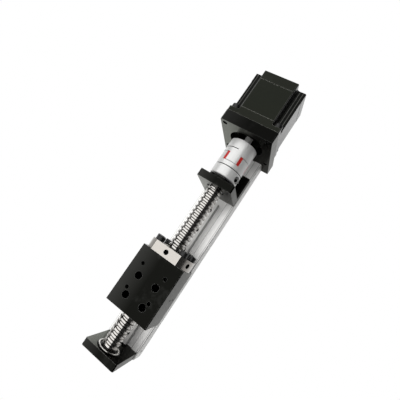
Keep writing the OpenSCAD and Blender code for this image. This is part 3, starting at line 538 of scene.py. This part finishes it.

# The motor's ledges are darker than its top and carry two fine lines of painted highlight,
# where ridges would catch the light
motorHalf = (motorEnd - statorStart) / 2
behindFlange = lengthBand((statorStart + motorEnd) / 2, motorHalf + 1.0, 0.2)
ledgeBands = (
    (18.8, 29.0, (0.0008, 0.0008, 0.0007)),
    (21.6, 22.3, (0.05, 0.05, 0.046)),
    (24.9, 25.6, (0.05, 0.05, 0.046)),
)
ledgeMarks = [
    bandMark(tone, bandShape(low, high, 0.12), amount=0.85, facing=upwards, within=behindFlange)
    for low, high, tone in ledgeBands
]
everywhere = bandShape(-1.0, 1.0, 0.1, scale=(0.0, 0.0, 0.0))
# The motor's sides are painted lighter, as a painted sheen of the light.
motorSideSheen = [bandMark((0.12, 0.12, 0.116), everywhere, amount=0.8, facing=sideways)]

# Painted light and shade on the base: the channel floor painted lighter against the screw's shade, the sides
# and ends painted darker, and lines of painted shade at the channel's edge and near the top's outer edges.
baseLightAndShade = [
    bandMark((0.99, 0.985, 0.97), bandShape(-1.0, 11.0, 0.2), amount=0.95, facing=upwards),
    bandMark((0.52, 0.517, 0.505), bandShape(15.0, 30.0, 0.5), facing=sideways),
    bandMark((0.52, 0.517, 0.505), bandShape(-1.0, 30.0, 0.5), facing=lengthways),
    bandMark((0.20, 0.198, 0.19), bandShape(11.0, 11.7, 0.2)),
    bandMark((0.30, 0.297, 0.29), bandShape(17.7, 18.45, 0.25)),
]
# The rail's edges and sides are painted darker, as painted shade.
railEdgeShade = [bandMark((0.10, 0.098, 0.09), bandShape(5.3, 7.5, 0.3), amount=0.55)]

# Painted sheen: black faces pale with the distance from the carriage's -Y side, and faces
# along X pale more, as a painted reflection of the light
sheenFrom = (0.0, -23.5, 0.0)
paintedSheenMarks = [
    bandMark((0.026, 0.0262, 0.0245), bandShape(24.0, 200.0, 28.0, sheenFrom), amount=0.8),
    bandMark((0.16, 0.167, 0.15), bandShape(14.0, 200.0, 30.0, sheenFrom), amount=0.8, facing=lengthways),
]
bracketPlate = lengthBand(middleX("motor_bracket", "motor_bracket"), 6.3, 0.1)
# The bracket's sides are painted lighter, as painted sheen, and its top darker, as painted shade.
bracketSheenAndShade = [
    bandMark((0.17, 0.17, 0.165), bracketPlate, amount=0.8, facing=sideways),
    bandMark((0.0006, 0.0006, 0.0005), bracketPlate, amount=0.6, facing=upwards),
]
grooveMarks = [bandMark((0.09, 0.078, 0.064), radialBand(6.9, 7.96, 0.3), amount=0.6)]
# Painted shade in the coupling's gaps: what lies inside the hubs' outer radius near its middle is painted
# dark.
couplingGapShade = [
    bandMark(
        (0.02, 0.02, 0.02), radialBand(-1.0, hubRadius - 0.35, 0.3), amount=0.9,
        within=lengthBand(couplingX, 11.8, 0.2),
    ),
]
# The far bearing's face is painted dark inside and outside its bright rim, as painted shade.
bearingFaceShade = [
    bandMark((0.006, 0.006, 0.0055), radialBand(0.0, 9.7, 0.15)),
    bandMark((0.006, 0.006, 0.0055), radialBand(11.1, 20.0, 0.15)),
]

finishes = {
    "clearAnodised": {
        "dark": (0.78, 0.775, 0.76), "light": (0.88, 0.875, 0.86), "metallic": 0.35,
        "roughness": (0.36, 0.48), "stretch": (25.0, 2600.0, 2600.0), "bump": 0.1,
        "edge": {"amount": 0.6, "tone": (0.30, 0.30, 0.29)},
        "smear": {"amount": 0.2, "size": 22.0, "cover": 0.55, "tone": (0.66, 0.655, 0.64)},
        "marks": baseLightAndShade,
    },
    "blackAnodised": {
        "dark": (0.0022, 0.0023, 0.0018), "light": (0.0042, 0.0043, 0.0036), "metallic": 0.95,
        "glancing": (0.6, 0.6, 0.59),  # how much of the light comes back at a flat angle
        "roughness": (0.17, 0.26), "stretch": (3200.0, 3200.0, 3200.0), "bump": 0.05,
        "edge": {"amount": 0.7, "tone": (0.14, 0.14, 0.135), "radius": 0.0005},
        "smear": {"amount": 0.10, "size": 34.0, "cover": 0.54, "tone": (0.10, 0.10, 0.095), "rough": 0.2},
        "marks": paintedSheenMarks + bracketSheenAndShade + carriageHoleShade,
    },
    "groundSteel": {
        "dark": (0.74, 0.735, 0.72), "light": (0.92, 0.915, 0.90), "metallic": 0.6,
        "roughness": (0.26, 0.38), "stretch": (40.0, 3600.0, 3600.0), "bump": 0.2,
        "edge": {"amount": 0.4, "tone": (0.85, 0.85, 0.84)},
        "marks": railEdgeShade,
    },
    "nutSteel": {
        "dark": (0.28, 0.265, 0.245), "light": (0.36, 0.34, 0.317), "metallic": 1.0,
        "roughness": (0.18, 0.28), "stretch": (3000.0, 120.0, 120.0), "bump": 0.12,
        "edge": {"amount": 0.5, "tone": (0.8, 0.79, 0.77)},
        "marks": nutHoleShade + carriageHoleShade,
    },
    "polishedSteel": {
        "dark": (0.31, 0.30, 0.287), "light": (0.45, 0.438, 0.418), "metallic": 1.0,
        "roughness": (0.12, 0.22), "stretch": (1800.0, 1800.0, 1800.0), "bump": 0.08,
        "smear": {"amount": 0.35, "size": 260.0, "cover": 0.55, "tone": (0.10, 0.09, 0.078)},
        "marks": grooveMarks,
    },
    "couplingAluminium": {
        "dark": (0.48, 0.48, 0.475), "light": (0.60, 0.60, 0.59), "metallic": 0.3,
        "roughness": (0.30, 0.42), "stretch": (9.0, 900.0, 900.0), "bump": 0.12,
        "edge": {"amount": 0.3, "tone": (0.98, 0.98, 0.98)},
        "marks": couplingGapShade,
    },
    "spiderRed": {
        "dark": (0.33, 0.006, 0.004), "light": (0.44, 0.014, 0.009),
        "roughness": (0.36, 0.5), "stretch": (900.0, 900.0, 900.0), "bump": 0.15,
    },
    "blackOxide": {
        "dark": (0.006, 0.006, 0.006), "light": (0.016, 0.016, 0.016), "metallic": 0.6,
        "roughness": (0.26, 0.38), "stretch": (2600.0, 2600.0, 2600.0), "bump": 0.15,
        "edge": {"amount": 0.5, "tone": (0.14, 0.14, 0.135)},
    },
    "bearingSteel": {
        "dark": (0.50, 0.495, 0.47), "light": (0.66, 0.65, 0.62), "metallic": 1.0,
        "roughness": (0.20, 0.32), "stretch": (900.0, 900.0, 900.0), "bump": 0.1,
        "marks": bearingFaceShade,
    },
    "zincPlate": {
        "dark": (0.55, 0.54, 0.50), "light": (0.74, 0.73, 0.70), "metallic": 1.0,
        "roughness": (0.22, 0.36), "stretch": (1500.0, 1500.0, 1500.0), "bump": 0.12,
        "edge": {"amount": 0.4, "tone": (0.9, 0.9, 0.88)},
    },
    "clampSteel": {
        "dark": (0.40, 0.40, 0.39), "light": (0.54, 0.54, 0.53), "metallic": 0.8,
        "roughness": (0.28, 0.40), "stretch": (1500.0, 1500.0, 1500.0), "bump": 0.1,
        "marks": clampSocketShade,
    },
    "motorPaint": {
        "dark": (0.0055, 0.006, 0.0042), "light": (0.0095, 0.0105, 0.0075), "metallic": 0.92,
        "roughness": (0.24, 0.34), "stretch": (2200.0, 2200.0, 2200.0), "bump": 0.08,
        "edge": {"amount": 0.8, "tone": (0.22, 0.22, 0.20), "radius": 0.0006},
        "smear": {"amount": 0.08, "size": 26.0, "cover": 0.54, "tone": (0.08, 0.08, 0.07)},
        "marks": motorSideSheen + ledgeMarks,
    },
    "statorSheets": {
        "dark": (0.0045, 0.0052, 0.0035), "light": (0.0085, 0.0098, 0.0065), "metallic": 0.92,
        "roughness": (0.24, 0.34), "stretch": (2000.0, 12.0, 12.0), "bump": 0.12,
        "edge": {"amount": 0.8, "tone": (0.22, 0.22, 0.20), "radius": 0.0006},
        "marks": motorSideSheen + ledgeMarks,
    },
    "copperWire": {
        "dark": (0.42, 0.13, 0.05), "light": (0.72, 0.30, 0.14), "metallic": 1.0,
        "roughness": (0.25, 0.4), "stretch": (30.0, 2500.0, 2500.0), "bump": 0.6,
    },
    "whitePlastic": {
        "dark": (0.62, 0.60, 0.52), "light": (0.74, 0.72, 0.64),
        "roughness": (0.4, 0.55), "stretch": (1400.0, 1400.0, 1400.0), "bump": 0.1,
    },
    "blackPlastic": {
        "dark": (0.010, 0.016, 0.014), "light": (0.024, 0.034, 0.030),
        "roughness": (0.4, 0.6), "stretch": (2600.0, 2600.0, 2600.0), "bump": 0.3,
    },
}
finish = {name: makeFinish(name, settings) for name, settings in finishes.items()}

# Solids that are shown as they are
nodeFinish = {
    "clearAnodised": ["base_bar"],
    "groundSteel": [
        "guide_rail", "runner_body", "runner_seals", "motor_shaft", "motor_rotor",
        "near_bearing_outer", "near_bearing_inner", "motor_front_bearing_outer", "motor_front_bearing_inner",
        "motor_rear_bearing_outer", "motor_rear_bearing_inner",
    ],
    "polishedSteel": [
        "far_bearing_balls", "near_bearing_balls", "motor_front_bearing_balls", "motor_rear_bearing_balls",
    ],
    "blackOxide": [
        "end_plate_screws", "support_screws", "snap_ring", "lock_nut", "bracket_screws", "far_bearing_inner",
    ],
    "copperWire": ["motor_windings"],
    "whitePlastic": ["motor_socket", "nut_wipers"],
    "blackPlastic": ["runner_end_caps"],
}
for finishName, members in nodeFinish.items():
    for member in members:
        for materialSlot in nodes[member].material_slots:
            materialSlot.material = finish[finishName]
print("finishes ready:", len(finish))


# A mesh from a grid of points, as sets of rows by columns. Each face joins two
# neighbours of a row to the same two of the next row.
def gridPiece(name, points, body, material, smooth, closeRows=False):
    sets, rows, columns = points.shape[:3]
    row = np.arange(rows if closeRows else rows - 1)
    i, j = np.meshgrid(row, np.arange(columns - 1), indexing="ij")
    here = i * columns + j
    below = (i + 1) % rows * columns + j
    quads = np.stack([here, below, below + 1, here + 1], axis=-1).reshape(-1, 4)
    faces = (quads[None] + (np.arange(sets) * rows * columns)[:, None, None]).reshape(-1, 4)
    return arrayPiece(name, points.reshape(-1, 3), faces, body, material, smooth)


# Points that lie on each other, as at a seam or a pole, are merged, and the
# faces then point outwards.
def arrayPiece(name, points, faces, body, material, smooth):
    mesh = bpy.data.meshes.new(name)
    mesh.vertices.add(len(points))
    mesh.vertices.foreach_set("co", np.ascontiguousarray(points, dtype=np.float32).ravel())
    mesh.loops.add(faces.size)
    mesh.loops.foreach_set("vertex_index", np.ascontiguousarray(faces, dtype=np.int32).ravel())
    mesh.polygons.add(len(faces))
    mesh.polygons.foreach_set("loop_start", np.arange(len(faces), dtype=np.int32) * faces.shape[1])
    mesh.update(calc_edges=True)
    work = bmesh.new()
    work.from_mesh(mesh)
    bmesh.ops.remove_doubles(work, verts=work.verts, dist=2e-7)
    bmesh.ops.dissolve_degenerate(work, edges=work.edges, dist=1e-8)
    bmesh.ops.recalc_face_normals(work, faces=work.faces)
    work.to_mesh(mesh)
    work.free()
    return showPiece(name, mesh, body, material, smooth)


def showPiece(name, mesh, body, material, smooth=35.0):
    mesh.validate()
    mesh.shade_smooth()
    mesh.set_sharp_from_angle(angle=math.radians(smooth))
    mesh.materials.clear()
    mesh.materials.append(material)
    piece = bpy.data.objects.new(name, mesh)
    bpy.context.scene.collection.objects.link(piece)
    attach(piece, body)
    return piece


# Ball screw, in mm

ballThread = {
    "radius": 8.0,
    "lead": 5.0,
    "hand": -1,
    "grooveDepth": 1.2,
    "groovePoints": (0.0, 0.03, 0.08, 0.15, 0.25, 0.37, 0.5, 0.63, 0.75, 0.85, 0.92, 0.97),
    "landShare": 0.36,  # share of the lead that stays on the full radius
    "landEdge": 0.02,  # rounded edge of the land, as a share of the lead
    "landDrop": 0.06,  # how far that edge lies under the full radius
    "columns": 96,
    "fadeOut": 2.5,  # length over which the groove runs out
    "journal": 6.0,
    "drive": 5.0,
    "shoulder": 7.3,
    "shoulderLength": 1.0,
    "chamfer": 0.4,
}


# Depth at a share p of the lead: none on the land, then a pointed arch, the
# groove depth times (1 - |t|^2.3)^0.75 with t running from -1 to 1.
def threadDepth(p, settings):
    land = settings["landShare"]
    t = np.clip((p - land) / (1 - land) * 2 - 1, -1, 1)
    return np.where(p > land, settings["grooveDepth"] * (1 - np.abs(t) ** 2.3) ** 0.75, 0.0)


# Point on the screw: x grows by one lead for each turn from +Z towards +Y, so
# the thread is left-handed (hand -1). Rows past either end are held on its end
# ring, and the plain ends are turned profiles of (x, radius).
def makeBallScrew(settings):
    lead, radius, land = settings["lead"], settings["radius"], settings["landShare"]
    journal, drive, shoulder = settings["journal"], settings["drive"], settings["shoulder"]
    c = settings["chamfer"]
    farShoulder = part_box("far_bearing_inner")[1].x / mm
    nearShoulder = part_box("near_bearing_inner")[0].x / mm
    start = farShoulder + settings["shoulderLength"] + c
    end = nearShoulder - settings["shoulderLength"] - c
    farEnd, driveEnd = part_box("ball_screw")[0].x / mm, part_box("ball_screw")[1].x / mm
    groove = land + (1 - land) * np.array(settings["groovePoints"])
    share = np.concatenate([[0.0, settings["landEdge"], land - settings["landEdge"]], groove])
    turns = int(math.ceil((end - start) / lead)) + 2
    angle = np.linspace(0, 2 * np.pi, settings["columns"] + 1)
    p = (np.arange(-1, turns + 1)[:, None] + share[None, :]).ravel()
    landEnds = np.where((share == 0.0) | (share == land), settings["landDrop"], 0.0)
    depth = np.tile(threadDepth(share, settings) + landEnds, turns + 2)
    along = p[:, None] + settings["hand"] * angle[None, :] / (2 * np.pi)
    x = np.clip(start + lead * along, start, end)
    fade = np.clip(np.minimum(x - start, end - x) / settings["fadeOut"], 0, 1)
    r = radius - depth[:, None] * fade * fade * (3 - 2 * fade)
    before = np.array([
        (farEnd, 0), (farEnd, journal - c), (farEnd + c, journal), (farShoulder, journal),
        (farShoulder, shoulder), (start - c, shoulder), (start - c, radius - c), (start, radius),
    ])
    after = np.array([
        (end, radius), (end + c, radius - c), (end + c, shoulder), (nearShoulder, shoulder),
        (nearShoulder, journal), (hubStart - c, journal), (hubStart, journal - c), (hubStart, drive),
        (driveEnd - c, drive), (driveEnd, drive - c), (driveEnd, 0),
    ])
    ends = [np.repeat(part[:, None, :], len(angle), 1) for part in (before, after)]
    x = np.concatenate([ends[0][..., 0], x, ends[1][..., 0]])
    r = np.concatenate([ends[0][..., 1], r, ends[1][..., 1]])
    points = np.stack([x, -r * np.sin(angle), r * np.cos(angle) + axisHeight], axis=-1) * mm
    steel = finish["polishedSteel"]
    piece = gridPiece("ballScrewThread", points[None], "screw", steel, 28.0)
    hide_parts("ball_screw")


makeBallScrew(ballThread)
print("ball screw ready")


# Far bearing, in mm

farBearing = {
    "ring": (9.7, 11.1),  # inner and outer radius of the raised rim
    "ringHeight": 0.35,
    "ringPoints": 9,
    "step": 0.55,  # how far the rest of the face lies back
    "shieldBack": 0.9,
    "boreGap": 0.15,
    "chamfers": (0.3, 0.2),  # at the back and at the front
    "columns": 120,
}


# A closed outline of (x, radius) pairs carried round the screw's axis: y is
# minus the radius times the sine of the angle, and z the radius times its cosine.
def makeRevolved(name, outline, columns, body, material):
    angle = np.linspace(0, 2 * np.pi, columns + 1)
    x, r = np.array(outline).T[..., None]
    x = np.repeat(x, len(angle), 1)
    points = np.stack([x, -r * np.sin(angle), r * np.cos(angle) + axisHeight], axis=-1) * mm
    return gridPiece(name, points[None], body, material, 30.0, closeRows=True)


# The raised rim is half an ellipse on the front face.
def makeFarBearing(settings):
    low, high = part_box("far_bearing_outer")
    back, front, rim = low.x / mm, high.x / mm, (high.y - low.y) / 2 / mm
    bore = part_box("far_bearing_inner")[1].y / mm + settings["boreGap"]
    inner, outer = settings["ring"]
    middle, half, rise = (inner + outer) / 2, (outer - inner) / 2, settings["ringHeight"]
    rounded = [
        (front - rise + rise * math.sin(t), middle + half * math.cos(t))
        for t in np.linspace(0, np.pi, settings["ringPoints"])
    ]
    face, shield = front - settings["step"], front - settings["shieldBack"]
    backCut, frontCut = settings["chamfers"]
    outline = [
        (back, bore), (back, rim - backCut), (back + backCut, rim), (face - frontCut, rim),
        (face, rim - frontCut), (face, outer + 0.01), *rounded, (shield, inner - 0.01), (shield, bore),
    ]
    steel = finish["bearingSteel"]
    piece = makeRevolved("farBearingRing", outline, settings["columns"], "base", steel)
    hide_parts("far_bearing_outer")


makeFarBearing(farBearing)
print("far bearing ready")


# Cap screws, in mm

# Radius of a row at an angle: round, a hexagon (corner radius times cos 30 over
# the cosine of the angle from the flat's middle) or a knurl (a small wave).
def rowRadius(radius, shape, angle, knurls):
    flat = np.mod(angle, np.pi / 3) - np.pi / 6
    hexagon = np.cos(np.pi / 6) / np.cos(flat)
    knurl = 1 - 0.022 * np.abs(np.sin(angle * knurls / 2))
    kinds = {"round": np.ones_like(angle), "hex": hexagon, "knurl": knurl}
    return radius * kinds[shape]


# Cap screws standing at several places at once. The head is a knurled drum with
# a hexagon socket, and the shank ends in a chamfer: rows of (height, radius) are
# carried round the way out of each place.
def makeCapScrews(name, settings):
    size, length = settings["size"], settings["length"]
    head, key, shank = (1.5 * size + 1) / 2, 0.92 * size / 2, size / 2
    c = 0.08 * size
    rows = [
        (size * 0.40, 0.0, "round"), (size * 0.45, key * 0.86, "round"), (size * 0.5, key, "hex"),
        (size - 0.3 * c, key, "hex"), (size, key + 0.5 * c, "round"), (size, head - 1.6 * c, "round"),
        (size - 0.35 * c, head - 0.9 * c, "round"), (size - c, head - 0.3 * c, "round"),
        (size - 1.6 * c, head, "knurl"), (c, head, "knurl"), (0.5 * c, head - 0.5 * c, "round"),
        (0.0, head - c, "round"), (0.0, shank, "round"), (-length + c, shank, "round"),
        (-length, shank - c, "round"), (-length, 0.0, "round"),
    ]
    angle = np.linspace(0, 2 * np.pi, settings["columns"] + 1)
    height = np.array([row[0] for row in rows])
    radius = np.array([rowRadius(row[1], row[2], angle, settings["knurls"]) for row in rows])
    places = np.array(settings["places"], dtype=float)
    out = np.array(settings["out"], dtype=float)
    out = np.broadcast_to(out, places.shape) / np.linalg.norm(out, axis=-1, keepdims=True)
    helper = np.where(np.abs(out[:, :1]) > 0.7, [[0.0, 0.0, 1.0]], [[1.0, 0.0, 0.0]])
    side = np.cross(out, helper)
    side /= np.linalg.norm(side, axis=-1, keepdims=True)
    side, other = side[:, None, None, :], np.cross(out, side)[:, None, None, :]
    turn = angle[None, None, :, None]
    ring = side * np.cos(turn) + other * np.sin(turn)
    rise = out[:, None, None, :] * height[None, :, None, None]
    points = places[:, None, None, :] + rise + ring * radius[None, :, :, None]
    steel = finish[settings["finish"]]
    piece = gridPiece(name, points * mm, settings["body"], steel, 30.0)
    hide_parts(settings["node"])


screwPlaces = {
    "flangeAngles": np.radians([45.0, 90.0, 135.0, -45.0, -90.0, -135.0]),  # from +Z towards +Y
    "flangeCircle": 19.0,  # radius of the circle that they lie on
    "motorFlange": 1.6 + 5.0,  # the motor's pilot and the flange behind it
    "mountHalf": 23.57,  # half the side of the square of screws
    "throughHalf": 16.9,
    "throughSink": 3.4,  # how deep the heads' seats lie in the motor's end
    "railFirst": 10.0,  # from the rail's end
    "railPitch": 25.0,
    "railCount": 7,
    "railSink": 4.5,
    "runnerSeat": 33.0,  # height above the base's underside
}
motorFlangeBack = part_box("motor_front_cap")[0].x / mm + screwPlaces["motorFlange"]
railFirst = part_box("guide_rail")[0].x / mm + screwPlaces["railFirst"]
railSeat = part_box("guide_rail")[1].z / mm - screwPlaces["railSink"]
circle = screwPlaces["flangeCircle"]
mountHalf = screwPlaces["mountHalf"]
throughHalf = screwPlaces["throughHalf"]
corners = [(a, b) for a in (-1, 1) for b in (-1, 1)]

capScrews = {
    "nutCapScrews": {
        "node": "nut_screws", "body": "carriage", "slot": "black_screw", "finish": "blackOxide",
        "size": 5.0, "length": 20.0, "knurls": 36, "columns": 96, "out": (1, 0, 0),
        "places": [
            (flangeFront, circle * math.sin(a), axisHeight + circle * math.cos(a))
            for a in screwPlaces["flangeAngles"]
        ],
    },
    "motorMountScrews": {
        "node": "motor_mount_screws", "body": "base", "slot": "black_screw", "finish": "blackOxide",
        "size": 5.0, "length": 16.0, "knurls": 36, "columns": 96, "out": (1, 0, 0),
        "places": [(motorFlangeBack, y * mountHalf, axisHeight + z * mountHalf) for y, z in corners],
    },
    "motorThroughScrews": {
        "node": "motor_through_screws", "body": "base", "slot": "bright_screw", "finish": "zincPlate",
        "size": 3.0, "length": 48.1, "knurls": 28, "columns": 84, "out": (1, 0, 0),
        "places": [
            (motorEnd - screwPlaces["throughSink"], y * throughHalf, axisHeight + z * throughHalf)
            for y, z in corners
        ],
    },
    "railCapScrews": {
        "node": "rail_screws", "body": "base", "slot": "black_screw", "finish": "blackOxide",
        "size": 3.0, "length": 8.5, "knurls": 28, "columns": 84, "out": (0, 0, 1),
        "places": [
            (railFirst + screwPlaces["railPitch"] * k, 0.0, railSeat) for k in range(screwPlaces["railCount"])
        ],
    },
    "clampCapScrews": {
        "node": "coupling_clamp_screws", "body": "screw", "slot": "bright_screw", "finish": "clampSteel",
        "size": 4.0, "length": 10.4, "knurls": 32, "columns": 96, "out": clampOuts,
        "places": [
            [p + clamp["seat"] * o for p, o in zip(spot, out)] for spot, out in zip(clampSpots, clampOuts)
        ],
    },
    "runnerCapScrews": {
        "node": "runner_screws", "body": "carriage", "slot": "black_screw", "finish": "blackOxide",
        "size": 3.0, "length": 6.5, "knurls": 28, "columns": 84, "out": (0, 0, 1),
        "places": [
            (runnerX + x * runnerHalf, y * runnerHalf, screwPlaces["runnerSeat"]) for x, y in corners
        ],
    },
}
for screwsName, screwSettings in capScrews.items():
    makeCapScrews(screwsName, screwSettings)
print("screws ready")


# Solids shown again with rounded edges: body, slot, finish, the width of every
# sharp edge's round and, where the long corners are rounder, their radius, in mm
roundedSolids = {
    "carriage_block": ("carriage", "black_anodised", "blackAnodised", 0.25),
    "end_plate": ("base", "black_anodised", "blackAnodised", 0.25),
    "bearing_support": ("base", "black_anodised", "blackAnodised", 0.25),
    "motor_bracket": ("base", "black_anodised", "blackAnodised", 0.25, 0.8),
    "ball_nut": ("carriage", "nut_steel", "nutSteel", 0.2),
    "coupling_screw_hub": ("screw", "coupling_aluminium", "couplingAluminium", 0.12),
    "coupling_motor_hub": ("screw", "coupling_aluminium", "couplingAluminium", 0.12),
    "coupling_spider": ("screw", "spider_red", "spiderRed", 0.2),
    "motor_front_cap": ("base", "motor_black", "motorPaint", 0.3, 1.2),
    "motor_rear_cap": ("base", "motor_black", "motorPaint", 0.3, 1.2),
    "motor_stator": ("base", "stator_black", "statorSheets", 0.2, 1.2),
}


rounding = {
    "joinAngle": math.radians(0.6),  # faces that differ less are joined into one
    "shortest": 3.0,  # a long corner is longer than this, in mm
    "cornerSegments": 4,
    "sharpAngle": math.radians(32.0),  # what is sharper gets the small round
    "segments": 2,
}


# A square, outward corner that runs along X and isn't short
def isLongCorner(edge):
    if len(edge.link_faces) != 2 or not edge.is_convex:
        return False
    length = edge.calc_length()
    run = abs(edge.verts[0].co.x - edge.verts[1].co.x)
    square = abs(edge.calc_face_angle() - math.pi / 2) < 0.2
    return length > rounding["shortest"] * mm and run > 0.99 * length and square


# The solid's triangles are merged and joined into flat faces, its long corners
# are cut round where they have a radius, and a live Bevel rounds what is sharper
# than the limit.
def roundedCopy(node, body, slotName, material, width, corner=0.0):
    mesh = nodes[node].data.copy()
    work = bmesh.new()
    work.from_mesh(mesh)
    bmesh.ops.remove_doubles(work, verts=work.verts, dist=2e-6)
    bmesh.ops.dissolve_limit(
        work, angle_limit=rounding["joinAngle"], use_dissolve_boundaries=False,
        verts=work.verts, edges=work.edges,
    )
    if corner:
        bmesh.ops.bevel(
            work, geom=[edge for edge in work.edges if isLongCorner(edge)], offset=corner * mm,
            segments=rounding["cornerSegments"], profile=0.5, affect="EDGES", clamp_overlap=True,
        )
    work.to_mesh(mesh)
    work.free()
    mesh.name = node + "Rounded"
    piece = showPiece(node + "Rounded", mesh, body, material)
    roundEdges = piece.modifiers.new("edgeRound", "BEVEL")
    roundEdges.width = width * mm
    roundEdges.segments = rounding["segments"]
    roundEdges.limit_method = "ANGLE"
    roundEdges.angle_limit = rounding["sharpAngle"]
    roundEdges.use_clamp_overlap = True
    flat = piece.modifiers.new("flatFaces", "WEIGHTED_NORMAL")
    flat.weight = 100
    flat.keep_sharp = True
    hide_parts(node)


for solid, (body, slotName, finishName, width, *corner) in roundedSolids.items():
    roundedCopy(solid, body, slotName, finish[finishName], width, *corner)
print("edges rounded")
